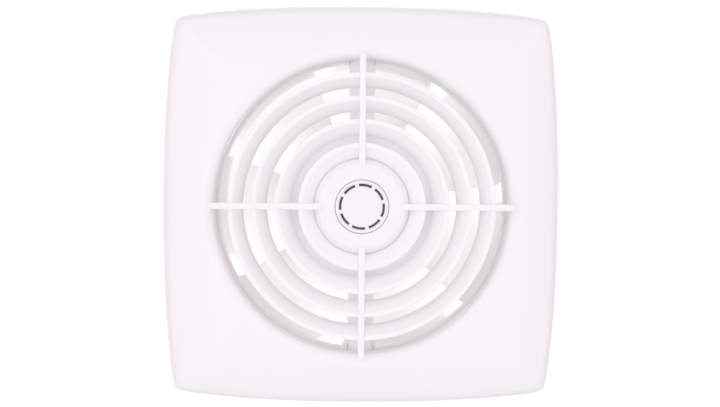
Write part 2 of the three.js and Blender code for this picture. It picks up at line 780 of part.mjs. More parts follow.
function impeller() {
  const hub = turnedLoop([
    [BUSH_INNER, IMPELLER_FRONT],
    [IMPELLER_HUB - IMPELLER_PLATE, IMPELLER_FRONT],
    [IMPELLER_HUB, IMPELLER_FRONT + IMPELLER_PLATE],
    [IMPELLER_HUB, IMPELLER_REAR],
    [IMPELLER_HUB - IMPELLER_WALL, IMPELLER_REAR],
    [IMPELLER_HUB - IMPELLER_WALL, IMPELLER_FRONT + 2.4],
    [IMPELLER_HUB - 2.4, IMPELLER_FRONT + IMPELLER_PLATE],
    [SLEEVE_RADIUS, IMPELLER_FRONT + IMPELLER_PLATE],
    [SLEEVE_RADIUS, IMPELLER_REAR - 2],
    [BUSH_INNER, IMPELLER_REAR - 2],
  ], FINE);
  const ribRadii = [SLEEVE_RADIUS - 0.4, IMPELLER_HUB - 0.8];
  const rib = block(ribRadii, [IMPELLER_FRONT + 1, RIB_REAR], [-RIB_WALL / 2, RIB_WALL / 2]);
  const ribs = around(BLADE_COUNT, BLADE_START, (degrees) => turnedTo(rib, degrees));
  return joined([hub, ...ribs, ...around(BLADE_COUNT, BLADE_START, impellerBlade)]);
}

// ---------------------------------------------------------------- wiring

function clampScrewPlaces() {
  return [-CLAMP_SCREW_OFFSET, CLAMP_SCREW_OFFSET].map((offset) => [
    CLAMP_AT[0] + offset * Math.cos(radians(CLAMP_TURN)),
    CLAMP_AT[1] - offset * Math.sin(radians(CLAMP_TURN)),
  ]);
}

// Saddle that would press the mains cord against the base
function cordClamp() {
  const profile = new THREE.Shape();
  profile.moveTo(-CLAMP_HALF, CLAMP_SEAT);
  profile.lineTo(-CLAMP_ARCH, CLAMP_SEAT);
  profile.absarc(0, CLAMP_SEAT, CLAMP_ARCH, Math.PI, Math.PI * 2, false);
  profile.lineTo(CLAMP_HALF, CLAMP_SEAT);
  profile.lineTo(CLAMP_HALF, CLAMP_FRONT);
  profile.absarc(0, CLAMP_SEAT, CLAMP_ARCH_OUTER, -CLAMP_ARCH_START, -Math.PI + CLAMP_ARCH_START, true);
  profile.lineTo(-CLAMP_HALF, CLAMP_FRONT);
  const path = { depth: CLAMP_WIDTH, bevelEnabled: false, curveSegments: 8 };
  const geometry = new THREE.ExtrudeGeometry(profile, path);
  geometry.translate(0, 0, -CLAMP_WIDTH / 2);
  const [x, z] = CLAMP_AT;
  const saddle = bodyFromGeometry(geometry).rotate([0, CLAMP_TURN, 0]).translate([x, 0, z]);
  return cut(saddle, clampScrewPlaces().map((place) => rod(1.5, CLAMP_FRONT - 1, CLAMP_SEAT + 1, place)));
}

// Places a body drawn at +X, with the radial direction along X, at the terminal block
function atTerminals(solid) {
  return turnedTo(solid, TERMINAL_ANGLE);
}

function terminalBlock() {
  const [halfDepth, halfLength] = TERMINAL_HALF;
  const near = TERMINAL_RADIUS - halfDepth;
  const far = TERMINAL_RADIUS + halfDepth;
  const blank = block([near, far], [TERMINAL_FRONT, BASE_PLATE_FRONT], [-halfLength, halfLength]);
  const tools = [-TERMINAL_SPACING, TERMINAL_SPACING].flatMap((offset) => [
    rod(TERMINAL_WELL, TERMINAL_FRONT - 1, -5.4, [TERMINAL_RADIUS, offset]),
    block([near - 1, far + 1], [-8.4, -5.9], [offset - 1.25, offset + 1.25]),
  ]);
  return atTerminals(cut(blank, tools));
}

function terminalClamp(offset) {
  const post = rod(2.2, -8.8, -5.5, [TERMINAL_RADIUS, offset]);
  const across = [TERMINAL_RADIUS - 3, TERMINAL_RADIUS + 3];
  const wireHole = block(across, [-8.0, -6.3], [offset - 0.9, offset + 0.9]);
  return atTerminals(post.subtract(wireHole));
}

function terminalScrew(offset) {
  const head = rod(1.7, -10.9, -8.9, [TERMINAL_RADIUS, offset]);
  const across = [TERMINAL_RADIUS - 3, TERMINAL_RADIUS + 3];
  const groove = block(across, [-11.5, -10.3], [offset - 0.25, offset + 0.25]);
  return atTerminals(head.subtract(groove));
}

// Insulated lead from a terminal, round the duct collar, down the upper strut and to the top coil
function motorLead(terminalOffset, collarRadius, channelX) {
  const start = (radius) => onCircle(radius, TERMINAL_ANGLE + terminalOffset / radius * 180 / Math.PI);
  const along = (radius, degrees, y) => {
    const [x, z] = onCircle(radius, degrees);
    return [x, y, z];
  };
  const [x0, z0] = start(TERMINAL_RADIUS - 2.6);
  const [x1, z1] = start(TERMINAL_RADIUS - 5.6);
  const first = TERMINAL_ANGLE + terminalOffset / collarRadius * 180 / Math.PI;
  const collarPoints = [first - 7, first - 17, 110, 100].map((degrees) => {
    return along(collarRadius, degrees, -10.4);
  });
  return wire([
    [x0, -7.15, z0],
    [x1, -7.2, z1],
    ...collarPoints,
    [channelX - 3.4, -10.4, collarRadius - 0.35],
    [channelX - 0.5, -10.4, collarRadius - 1.3],
    [channelX, -10.4, 47.6],
    [channelX, -10.4, 40.0],
    [channelX, -10.4, 30.0],
    [channelX, -10.4, 21.0],
    [channelX, -9.3, 17.6],
    [channelX, -6.6, 16.4],
  ], LEAD_RADIUS, 34);
}

function cableGrommet() {
  const [x, z] = CABLE_ENTRY;
  return turnedLoop([
    [3.2, -3.9],
    [5.4, -3.9],
    [6.0, -3.3],
    [6.0, BASE_PLATE_FRONT],
    [CABLE_ENTRY_RADIUS - 0.15, BASE_PLATE_FRONT],
    [CABLE_ENTRY_RADIUS - 0.15, -0.2],
    [3.2, -0.2],
  ], COARSE).translate([x, 0, z]);
}

// ---------------------------------------------------------------- assembly

function buildCover() {
  addPiece('front_cover', frontCover(), glossyWhite());
  addPiece('cover_screw', crossScrew(COVER_SCREW, HUB_FLOOR_FRONT), platedSteel());
  addPiece('centre_cap', centreCap(), glossyWhite());
  addPiece('cap_seal', sleeve(5.4, 7.5, -21.3, -19.8, MEDIUM), blackRubber());
}

function buildHousing() {
  addPiece('mounting_base', mountingBase(), bodyWhite());
  addPiece('motor_holder', motorHolder(), bodyWhite());
  addPiece('motor_holder_lid', motorHolderLid(), bodyWhite());
  ['top', 'bottom'].forEach((name, index) => {
    const [x, z] = holderScrewPlaces()[index];
    const screw = crossScrew(HOLDER_SCREW, FOOT_FRONT).translate([x, 0, z]);
    addPiece(`holder_screw_${name}`, screw, platedSteel());
  });
}

function buildMotor() {
  addPiece('stator_core', statorCore(), laminatedSteel());
  around(4, 0, (degrees, index) => {
    addPiece(`coil_bobbin_${index + 1}`, bobbin(degrees), bobbinNylon());
    addPiece(`field_coil_${index + 1}`, coil(degrees), enamelledCopper());
  });
  addPiece('front_bearing_bridge', bearingBridge([-7.6, -6.1], [-6.3, -4.0], [-10.6, -6.1]), zincAlloy());
  addPiece('rear_bearing_bridge', bearingBridge([14.1, 15.6], [12.0, 14.3], [14.1, 18.6]), zincAlloy());
  addPiece('front_bush', bush(-10.4, -6.2), sinteredBronze());
  addPiece('rear_bush', bush(14.2, 18.4), sinteredBronze());
  addPiece('front_thrust_washer', sleeve(2.15, 4.2, -6.1, -4.05, COARSE), fibreWasher());
  addPiece('rear_thrust_washer', sleeve(2.15, 4.2, 12.05, 14.1, COARSE), fibreWasher());
  addPiece('rotor_core', sleeve(BUSH_INNER, ROTOR_RADIUS, STATOR_FRONT, STATOR_REAR, MEDIUM), laminatedSteel());
  addPiece('rotor_end_ring_front', sleeve(...END_RING_RADII, -5.5, STATOR_FRONT, MEDIUM), castAluminium());
  addPiece('rotor_end_ring_rear', sleeve(...END_RING_RADII, STATOR_REAR, 13.5, MEDIUM), castAluminium());
  addPiece('motor_shaft', shaft(), groundSteel());
  MOTOR_SCREW_ANGLES.forEach((degrees, index) => {
    const screw = crossScrew(MOTOR_SCREW, -MOTOR_SCREW_SEAT).rotate([0, 0, 180]);
    const [x, z] = onCircle(MOTOR_SCREW_AT, degrees);
    addPiece(`motor_screw_${index + 1}`, screw.translate([x, 0, z]), platedSteel());
  });
}

function buildImpeller() {
  addPiece('impeller', impeller(), impellerWhite());
  addPiece('impeller_clip', sleeve(SLEEVE_RADIUS + 0.15, CLIP_RADIUS, 38.0, 40.5, MEDIUM), platedSteel());
}

function buildWiring() {
  addPiece('terminal_block', terminalBlock(), terminalWhite());
  ['live', 'neutral'].forEach((name, index) => {
    const offset = index === 0 ? -TERMINAL_SPACING : TERMINAL_SPACING;
    const sleeveColour = index === 0 ? brownSleeve() : blueSleeve();
    const route = index === 0 ? [53.0, 1.15] : [50.7, -1.15];
    addPiece(`terminal_${name}`, terminalClamp(offset), brass());
    addPiece(`terminal_screw_${name}`, terminalScrew(offset), platedSteel());
    addPiece(`motor_lead_${name}`, motorLead(offset, ...route), sleeveColour);
  });
  addPiece('cable_grommet', cableGrommet(), greyRubber());
  addPiece('cord_clamp', cordClamp(), bodyWhite());
  clampScrewPlaces().forEach(([x, z], index) => {
    const screw = crossScrew(CLAMP_SCREW, CLAMP_FRONT).translate([x, 0, z]);
    addPiece(`cord_clamp_screw_${index + 1}`, screw, platedSteel());
  });
}

buildCover();
buildHousing();
buildMotor();
buildImpeller();
buildWiring();

export default group;
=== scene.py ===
# %% [markdown]
# # A bathroom extractor fan
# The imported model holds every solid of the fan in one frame: the fan axis is the Y axis, the wall is
# the plane y = 0, and the cover faces -Y. This lesson dresses that frame. Visible mouldings are made
# again as smooth numpy surfaces, and the hidden motor keeps its solids and gets better finishes.

# %% Load the frame
import math
from functools import partial

import bmesh
import bpy
import numpy as np
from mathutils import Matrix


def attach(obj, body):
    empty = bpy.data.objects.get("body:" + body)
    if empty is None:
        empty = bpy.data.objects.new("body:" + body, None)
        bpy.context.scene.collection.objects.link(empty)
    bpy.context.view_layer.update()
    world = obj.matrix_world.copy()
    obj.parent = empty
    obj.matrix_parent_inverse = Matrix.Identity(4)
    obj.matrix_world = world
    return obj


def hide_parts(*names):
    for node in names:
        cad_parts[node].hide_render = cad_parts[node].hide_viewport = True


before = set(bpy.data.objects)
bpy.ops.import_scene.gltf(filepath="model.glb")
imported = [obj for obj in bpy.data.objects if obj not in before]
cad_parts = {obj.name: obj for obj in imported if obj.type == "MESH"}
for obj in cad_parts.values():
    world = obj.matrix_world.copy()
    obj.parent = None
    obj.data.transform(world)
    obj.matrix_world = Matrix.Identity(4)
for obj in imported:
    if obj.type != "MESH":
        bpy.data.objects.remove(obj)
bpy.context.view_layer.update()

# %% [markdown]
# ## Camera
# The fan is looked at almost squarely, from slightly above and slightly to its left. The standard view
# transform with a raised gamma gives the light, low-contrast look of a catalogue picture of white goods.

# %% Camera
CAMERA_AZIMUTH = -1.1
CAMERA_ELEVATION = 2.1
CAMERA_DISTANCE = 0.480
CAMERA_LENS = 73.2
CAMERA_ROLL = -0.42
LOOK_AT = (-0.0008, -0.023, 0.0011)
TONE_GAMMA = 1.95


def aim_camera():
    """Camera on a sphere round the look-at point; its own axis is turned by the roll angle."""
    azimuth, elevation = math.radians(CAMERA_AZIMUTH), math.radians(CAMERA_ELEVATION)
    back = np.array([
        math.sin(azimuth) * math.cos(elevation),
        -math.cos(azimuth) * math.cos(elevation),
        math.sin(elevation),
    ])
    data = bpy.data.cameras.new("camera")
    data.lens = CAMERA_LENS
    data.sensor_width = 36.0
    data.clip_start, data.clip_end = 0.01, 50.0
    camera = bpy.data.objects.new("camera", data)
    bpy.context.scene.collection.objects.link(camera)
    camera.location = np.array(LOOK_AT) + back * CAMERA_DISTANCE
    camera.rotation_euler = (
        math.radians(90.0 - CAMERA_ELEVATION),
        math.radians(CAMERA_ROLL),
        azimuth,
    )
    bpy.context.scene.camera = camera
    return camera


camera = aim_camera()
bpy.context.scene.view_settings.view_transform = "Standard"
bpy.context.scene.view_settings.gamma = TONE_GAMMA
print("camera at", [round(v, 4) for v in camera.location])

# %% [markdown]
# ## Shader arithmetic
# A material is a graph of nodes, and long graphs are hard to read as calls. The class below wraps one
# output socket so that `1 - mask * 0.3` adds the Math nodes by itself. Every other node comes from
# `Finish.node`, which sets the node's own settings first and then its sockets.


# %% Socket arithmetic and the Finish builder
class Value:
    """One output socket with ordinary arithmetic."""

    def __init__(self, finish, socket):
        self.finish, self.socket = finish, socket

    def math(self, operation, *values):
        return self.finish.node("ShaderNodeMath", {"operation": operation}, dict(enumerate(values)))

    def __add__(self, other):
        return self.math("ADD", self, other)

    def __radd__(self, other):
        return self.math("ADD", other, self)

    def __sub__(self, other):
        return self.math("SUBTRACT", self, other)

    def __rsub__(self, other):
        return self.math("SUBTRACT", other, self)

    def __mul__(self, other):
        return self.math("MULTIPLY", self, other)

    def __rmul__(self, other):
        return self.math("MULTIPLY", other, self)

    def __truediv__(self, other):
        return self.math("DIVIDE", self, other)

    def __rtruediv__(self, other):
        return self.math("DIVIDE", other, self)

    def __pow__(self, other):
        return self.math("POWER", self, other)

    def sine(self):
        return self.math("SINE", self)

    def clamped(self):
        return self.finish.node("ShaderNodeClamp", {}, {"Value": self})

    def ramp(self, low, high):
        """0 at low, 1 at high, even between them and held outside."""
        return self.finish.node("ShaderNodeMapRange", {}, {"Value": self, "From Min": low, "From Max": high})

    def step(self, low, high):
        """0 below low, 1 above high, a smooth climb between them."""
        sockets = {"Value": self, "From Min": low, "From Max": high}
        return self.finish.node("ShaderNodeMapRange", {"interpolation_type": "SMOOTHSTEP"}, sockets)


class Finish:
    """The node tree of a material, or of the world, under construction."""

    def __init__(self, owner):
        self.owner = owner
        owner.use_nodes = True
        self.tree = owner.node_tree
        self.tree.nodes.clear()
        self.coordinates = self.node("ShaderNodeTexCoord", {}, {}, "Object")

    def node(self, kind, settings, sockets, output=0):
        node = self.tree.nodes.new(kind)
        for key, value in settings.items():
            if key == "stops":
                self.set_stops(node.color_ramp, value)
            else:
                setattr(node, key, value)
        for key, value in sockets.items():
            if isinstance(value, Value):
                self.tree.links.new(value.socket, node.inputs[key])
            else:
                node.inputs[key].default_value = value
        return Value(self, node.outputs[output]) if node.outputs else None

    @staticmethod
    def set_stops(ramp, stops):
        while len(ramp.elements) < len(stops):
            ramp.elements.new(1.0)
        for element, (position, colour) in zip(ramp.elements, stops):
            element.position, element.color = position, (*colour, 1.0)

    def noise(self, scale, detail=3.0, roughness=0.5, at=None):
        sockets = {"Vector": at or self.coordinates, "Scale": scale, "Detail": detail, "Roughness": roughness}
        return self.node("ShaderNodeTexNoise", {}, sockets)

    def cells(self, scale, randomness=1.0):
        sockets = {"Vector": self.coordinates, "Scale": scale, "Randomness": randomness}
        return self.node("ShaderNodeTexVoronoi", {}, sockets)

    def stretched(self, x, y, z):
        """Object coordinates scaled along each axis."""
        return self.node("ShaderNodeMapping", {}, {"Vector": self.coordinates, "Scale": (x, y, z)})

    def axes(self):
        split = self.node("ShaderNodeSeparateXYZ", {}, {"Vector": self.coordinates})
        outputs = split.socket.node.outputs
        return [Value(self, outputs[i]) for i in range(3)]

    def blend(self, mask, first, second):
        """Colour mixed from first (mask 0) to second (mask 1)."""
        sockets = {0: mask, 6: paint(first), 7: paint(second)}
        return self.node("ShaderNodeMix", {"data_type": "RGBA"}, sockets, 2)

    def bump(self, height, depth, strength=1.0):
        return self.node("ShaderNodeBump", {}, {"Height": height, "Distance": depth, "Strength": strength})

    def shade(self, colour, roughness, metallic, normal, constants={}):
        sockets = {"Base Color": paint(colour), "Roughness": roughness, "Metallic": metallic}
        sockets["Normal"] = normal
        surface = self.node("ShaderNodeBsdfPrincipled", {}, {**sockets, **constants})
        return self.close("ShaderNodeOutputMaterial", surface)

    def close(self, kind, surface):
        """Joins the last shader to the tree's output and gives the owner back."""
        self.node(kind, {}, {"Surface": surface})
        return self.owner


def paint(colour):
    """A plain colour gets its alpha; a socket stays as it is."""
    return colour if isinstance(colour, Value) else (*colour, 1.0)


def shifted(colour, factor):
    return tuple(channel * factor for channel in colour)


def new_finish(name):
    return Finish(bpy.data.materials.new(name))


print("shader helpers ready")

# %% [markdown]
# ## Light
# The light is a white room: strongest straight ahead of the fan and behind it, and dim at the sides.
# Glossy plastic is mostly seen by what it mirrors, so two large panels stand left and right, and their
# inner edges decide where the pillow-shaped face turns bright. Two panels ahead fill the grille, and a
# small one just behind the duct shines through the milky blades, as daylight does in an open duct.

# %% Light
ROOM_LIGHT = 0.15
FRONT_LIGHT = 0.25
WALL_LIGHT = 1.2
BACKDROP_LIGHT = 1.05
LIGHT_TINT = (1.0, 0.915, 0.985)
PANEL_DISTANCE = 0.95
DUCT_PANEL_DISTANCE = 0.078


def soft_panel(name, azimuth, elevation, width, height, radiance, distance=PANEL_DISTANCE):
    """Rectangular light facing the fan from a direction; power = radiance x pi x area."""
    data = bpy.data.lights.new(name, "AREA")
    data.shape = "RECTANGLE"
    data.size, data.size_y = width, height
    data.energy = radiance * math.pi * width * height
    data.color = LIGHT_TINT
    light = bpy.data.objects.new(name, data)
    bpy.context.scene.collection.objects.link(light)
    turn, lift = math.radians(azimuth), math.radians(elevation)
    light.location = distance * np.array([
        math.sin(turn) * math.cos(lift),
        -math.cos(turn) * math.cos(lift),
        math.sin(lift),
    ])
    light.rotation_euler = (math.radians(90.0) - lift, 0.0, turn)
    return light


def white_room():
    """Strength = room + a lobe ahead + a lobe behind, by the direction's part y along the fan axis.

    The camera sees an even white instead, so the fan stands on a clean ground."""
    world = bpy.data.worlds.new("white_room")
    bpy.context.scene.world = world
    room = Finish(world)
    direction = room.node("ShaderNodeTexCoord", {}, {}, "Generated")
    along = room.node("ShaderNodeSeparateXYZ", {}, {"Vector": direction}, "Y")
    strength = ROOM_LIGHT + along.ramp(-0.72, -0.84) * FRONT_LIGHT + along.ramp(0.45, 0.75) * WALL_LIGHT
    light = room.node("ShaderNodeBackground", {}, {"Color": paint(LIGHT_TINT), "Strength": strength})
    plain = {"Color": paint((1.0, 1.0, 1.0)), "Strength": BACKDROP_LIGHT}
    ground = room.node("ShaderNodeBackground", {}, plain)
    seen = room.node("ShaderNodeLightPath", {}, {}, "Is Camera Ray")
    room.close("ShaderNodeOutputWorld", room.node("ShaderNodeMixShader", {}, {0: seen, 1: light, 2: ground}))


white_room()
soft_panel("left_panel", -48.0, 6.0, 1.15, 1.3, 0.78)
soft_panel("right_panel", 64.0, 4.0, 0.8, 1.2, 0.78)
soft_panel("top_panel", 0.0, 58.0, 1.6, 0.9, 0.50)
soft_panel("front_panel", -1.0, 4.0, 1.6, 1.6, 0.58).visible_glossy = False
soft_panel("grille_panel", -1.0, 4.0, 0.3, 0.3, 3.6).visible_glossy = False
soft_panel("duct_panel", 180.0, 0.0, 0.062, 0.062, 2.8, DUCT_PANEL_DISTANCE).visible_camera = False
print("room", ROOM_LIGHT, "backdrop", BACKDROP_LIGHT)

# %% [markdown]
# ## Plastics
# Moulded ABS is never one flat colour: it carries a fine orange-peel skin from the tool, faint cloudy
# patches where the melt cooled at different speeds, and specks of dust. Each shows mostly in the gloss,
# so the patches drive roughness as much as colour, and the skin is a very shallow bump.


# %% Moulded plastics
def moulded_plastic(name, colour, roughness, peel_depth, cloud, speck, milky=0.0):
    """Clouds and grain shift the colour, dust specks darken it, and milky is how far light spreads inside."""
    finish = new_finish(name)
    patches = finish.noise(38.0, 4.0)
    peel = finish.noise(420.0, 2.0)
    grain = finish.noise(2600.0, 1.0)
    specks = finish.cells(260.0).step(0.07, 0.03)
    dirt = finish.noise(90.0, 5.0, 0.65).step(0.52, 0.75)
    tone = (patches - 0.5) * cloud + (grain - 0.5) * cloud * 0.5
    darker, lighter = shifted(colour, 1.0 - cloud), shifted(colour, 1.0 + cloud)
    base = finish.blend((0.5 + tone * 4.0).clamped(), darker, lighter)
    base = finish.blend(specks * dirt * speck, base, shifted(colour, 0.55))
    rough = roughness + (patches - 0.5) * 0.06 + dirt * 0.05 + specks * dirt * 0.2
    skin = finish.bump(peel * 0.8 + grain * 0.2, peel_depth)
    light_spread = {
        "Subsurface Weight": 1.0 if milky else 0.0,
        "Subsurface Scale": milky,
        "Subsurface Radius": (1.0, 0.95, 0.92),
    }
    return finish.shade(base, rough, 0.0, skin, light_spread)


cover_white = moulded_plastic("cover_white", (0.945, 0.925, 0.938), 0.14, 0.000006, 0.006, 0.05, 0.0006)
cap_white = moulded_plastic("cap_white", (0.89, 0.865, 0.88), 0.14, 0.000006, 0.006, 0.05)
body_white = moulded_plastic("body_white", (0.975, 0.96, 0.955), 0.15, 0.000008, 0.008, 0.08, 0.0008)
holder_white = moulded_plastic("holder_white", (0.97, 0.955, 0.955), 0.34, 0.000015, 0.008, 0.08, 0.0006)
impeller_white = moulded_plastic("impeller_white", (0.98, 0.95, 0.86), 0.30, 0.00001, 0.012, 0.08, 0.006)
terminal_cream = moulded_plastic("terminal_cream", (0.72, 0.68, 0.58), 0.48, 0.00002, 0.02, 0.15)
bobbin_nylon = moulded_plastic("bobbin_nylon", (0.66, 0.6, 0.46), 0.45, 0.00002, 0.03, 0.15)
brown_pvc = moulded_plastic("brown_pvc", (0.16, 0.062, 0.03), 0.42, 0.00001, 0.06, 0.2)
blue_pvc = moulded_plastic("blue_pvc", (0.035, 0.12, 0.42), 0.42, 0.00001, 0.06, 0.2)
fibre_brown = moulded_plastic("fibre_brown", (0.3, 0.16, 0.08), 0.72, 0.00004, 0.12, 0.3)
print("plastics:", cover_white.name, body_white.name, impeller_white.name)

# %% [markdown]
# ## Rubber, metals and windings
# Rubber scatters light from a fine pitted skin. Plated steel shows soft blotches of zinc and turning
# rings; cast metal is pebbly; a laminated core is a stack of half-millimetre sheets, which a wave along
# the fan axis draws; a coil is rows of enamelled wire, drawn by a wave across the winding.


# %% Rubber and metals
def rubber(name, colour):
    """Pitted skin, with a pale bloom in patches."""
    finish = new_finish(name)
    pits = finish.cells(1500.0)
    bloom = finish.noise(120.0, 5.0, 0.6).step(0.45, 0.75)
    base = finish.blend(bloom * 0.4, shifted(colour, 0.8), shifted(colour, 1.9))
    skin = finish.bump(pits, 0.00003)
    return finish.shade(base, 0.68 + bloom * 0.15, 0.0, skin)


def metal(name, colour, roughness, blotch, grain, depth):
    """Metal with cloudy tarnish, a grain of the given scale, and roughness that follows both."""
    finish = new_finish(name)
    tarnish = finish.noise(70.0, 5.0, 0.6)
    texture = finish.noise(grain, 2.0)
    base = finish.blend((tarnish.step(0.3, 0.8)) * blotch, colour, shifted(colour, 0.55))
    rough = roughness + (tarnish - 0.5) * 0.16 + (texture - 0.5) * 0.1
    return finish.shade(base, rough, 1.0, finish.bump(texture, depth))


def laminated(name, colour):
    """Sheets half a millimetre thick along the fan axis: dark joints, ridged edges, spots of rust."""
    finish = new_finish(name)
    _, depth, _ = finish.axes()
    sheets = (depth * (2.0 * math.pi / 0.0005)).sine()
    rust = finish.noise(150.0, 5.0, 0.7).step(0.55, 0.8)
    base = finish.blend(rust * 0.5, colour, (0.16, 0.07, 0.03))
    base = finish.blend(sheets.step(-1.0, 0.2), (0.09, 0.09, 0.1), base)
    return finish.shade(base, 0.42 + rust * 0.3, 1.0, finish.bump(sheets, 0.00004))


def winding(name):
    """Rows of wire round a pole: ridges across the radial direction, which is found from x and z."""
    finish = new_finish(name)
    across, _, up = finish.axes()
    radial = (across * across + up * up) ** 0.5
    ridges = (radial * (2.0 * math.pi / 0.00035)).sine()
    shade_of = finish.noise(260.0, 3.0)
    base = finish.blend(shade_of, (0.36, 0.1, 0.03), (0.62, 0.24, 0.08))
    return finish.shade(base, 0.3 + ridges * 0.06, 1.0, finish.bump(ridges, 0.00006))


black_rubber = rubber("black_rubber", (0.012, 0.012, 0.013))
grey_rubber = rubber("grey_rubber", (0.16, 0.165, 0.17))
plated_steel = metal("plated_steel", (0.62, 0.63, 0.64), 0.3, 0.3, 900.0, 0.000008)
ground_steel = metal("ground_steel", (0.66, 0.67, 0.68), 0.16, 0.1, 2000.0, 0.000004)
cast_aluminium = metal("cast_aluminium", (0.66, 0.66, 0.66), 0.42, 0.25, 500.0, 0.00003)
zinc_alloy = metal("zinc_alloy", (0.48, 0.49, 0.49), 0.44, 0.3, 600.0, 0.00003)
bronze = metal("bronze", (0.5, 0.33, 0.15), 0.4, 0.4, 1300.0, 0.00002)
brass = metal("brass", (0.68, 0.48, 0.18), 0.28, 0.3, 800.0, 0.00001)
laminated_steel = laminated("laminated_steel", (0.34, 0.35, 0.37))
copper_winding = winding("copper_winding")
print("metals ready")

# %% [markdown]
# ## Surfaces from arrays
# Most of the fan is turned, lofted or extruded. A turned part is a profile (radius, y) carried round
# the fan axis; a loft is a list of closed sections; both are grids of points, so one function turns a
# grid into a mesh. All lengths below are millimetres, and become metres in that one place.

# %% Grid to mesh
MM = 0.001
SHARP_ANGLE = math.radians(34.0)


def surface(name, points, wrap_rows=False, wrap_columns=True, keep=None, recalculate=True):
    """Mesh of quads between neighbouring points of a grid (rows, columns, 3), welded where they meet."""
    rows, columns = points.shape[:2]
    index = np.arange(rows * columns).reshape(rows, columns)
    if wrap_rows:
        index = np.vstack([index, index[:1]])
    if wrap_columns:
        index = np.hstack([index, index[:, :1]])
    quads = np.stack([index[:-1, :-1], index[:-1, 1:], index[1:, 1:], index[1:, :-1]], axis=-1)
    if keep is not None:
        quads = quads[keep]
    mesh = bpy.data.meshes.new(name)
    mesh.from_pydata((points.reshape(-1, 3) * MM).tolist(), [], quads.reshape(-1, 4).tolist())
    return tidy_mesh(name, mesh, recalculate)


def tidy_mesh(name, mesh, recalculate=True):
    """Welds doubles, drops loose points, turns faces outward and links the object."""
    work = bmesh.new()
    work.from_mesh(mesh)
    bmesh.ops.remove_doubles(work, verts=work.verts, dist=1e-7)
    loose = [vertex for vertex in work.verts if not vertex.link_faces]
    bmesh.ops.delete(work, geom=loose, context="VERTS")
    if recalculate:
        bmesh.ops.recalc_face_normals(work, faces=work.faces)
    work.to_mesh(mesh)
    work.free()
    piece = bpy.data.objects.new(name, mesh)
    bpy.context.scene.collection.objects.link(piece)
    smooth(piece)
    return piece


def smooth(piece, angle=SHARP_ANGLE):
    """Smooth shading that breaks at edges sharper than the angle."""
    mesh = piece.data
    mesh.polygons.foreach_set("use_smooth", np.ones(len(mesh.polygons), bool))
    mesh.set_sharp_from_angle(angle=angle)


def quadratic(t, a, b, c):
    """Curve from a to c pulled towards b."""
    return (1 - t) ** 2 * a + 2 * t * (1 - t) * b + t ** 2 * c


def rounded(corners, radius, steps=5, closed=True):
    """Polyline with each corner replaced by a quadratic curve that starts and ends radius away from it.

    Works on the last two axes, so many sections are rounded at once: (..., corners, values)."""
    corners = np.asarray(corners, float)
    before, after = np.roll(corners, 1, axis=-2), np.roll(corners, -1, axis=-2)
    radius = np.broadcast_to(np.asarray(radius, float), corners.shape[:-1])[..., None]

    def towards(other):
        step = other - corners
        length = np.linalg.norm(step, axis=-1, keepdims=True) + 1e-9
        return corners + step / length * np.minimum(radius, 0.48 * length)

    start, end = towards(before), towards(after)
    t = np.linspace(0.0, 1.0, steps)[:, None]
    curve = quadratic(t, start[..., None, :], corners[..., None, :], end[..., None, :])
    if not closed:
        curve[..., 0, :, :] = corners[..., :1, :]
        curve[..., -1, :, :] = corners[..., -1:, :]
    return curve.reshape(*corners.shape[:-2], -1, corners.shape[-1])


def polar(radius, angle, y):
    """Points from radius, angle (counterclockwise from +X seen from the front) and y."""
    radius, angle, y = np.broadcast_arrays(radius, angle, y)
    return np.stack([radius * np.cos(angle), y, radius * np.sin(angle)], axis=-1)


def circle(segments):
    return np.arange(segments) * (2.0 * math.pi / segments)


def turned(name, profile, segments=128, closed=True):
    """Surface of revolution: each profile point (radius, y) carried round the fan axis."""
    profile = np.asarray(profile, float)
    points = polar(profile[:, None, 0], circle(segments)[None, :], profile[:, None, 1])
    return surface(name, points, wrap_rows=closed)


def lofted(name, sections):
    """Closed sections (stations, points, 3) joined in order, with a fan of faces closing each end."""
    ends = sections.mean(axis=1, keepdims=True) + np.zeros_like(sections)
    return surface(name, np.concatenate([ends[:1], sections, ends[-1:]]))


def closed_strip(name, loop):
    """Loft of thin closed sections: one side forwards, then the other side backwards, point by point.

    Each end is closed by a strip of faces between the matching points of the two sides."""
    rows, count = loop.shape[:2]
    index = np.arange(rows * count).reshape(rows, count)
    ring = np.hstack([index, index[:, :1]])
    sides = np.stack([ring[:-1, :-1], ring[:-1, 1:], ring[1:, 1:], ring[1:, :-1]], axis=-1).reshape(-1, 4)
    first = np.arange(count // 2 - 1)
    strip = np.stack([first, first + 1, count - 2 - first, count - 1 - first], axis=-1)
    faces = np.concatenate([sides, strip, index[-1][strip]])
    mesh = bpy.data.meshes.new(name)
    mesh.from_pydata((loop.reshape(-1, 3) * MM).tolist(), [], faces.tolist())
    return tidy_mesh(name, mesh)


def bevelled(piece, width, segments=3):
    """Small rounded edges, as a mould leaves them."""
    modifier = piece.modifiers.new("edges", "BEVEL")
    modifier.width = width * MM
    modifier.segments = segments
    modifier.limit_method = "ANGLE"
    modifier.angle_limit = math.radians(40.0)
    modifier.harden_normals = True
    return piece


def spun(points, degrees):
    """Points turned about the fan axis, counterclockwise seen from the front."""
    c, s = math.cos(math.radians(degrees)), math.sin(math.radians(degrees))
    x, y, z = np.moveaxis(points, -1, 0)
    return np.stack([x * c - z * s, y, x * s + z * c], axis=-1)


def placed(piece, at=(0.0, 0.0), degrees=0.0):
    """Turns a piece's points about the fan axis, then moves them to (x, z); the object itself stays."""
    points = np.empty(len(piece.data.vertices) * 3)
    piece.data.vertices.foreach_get("co", points)
    points = spun(points.reshape(-1, 3), degrees) + np.array([at[0], 0.0, at[1]]) * MM
    piece.data.vertices.foreach_set("co", points.ravel())
    return piece


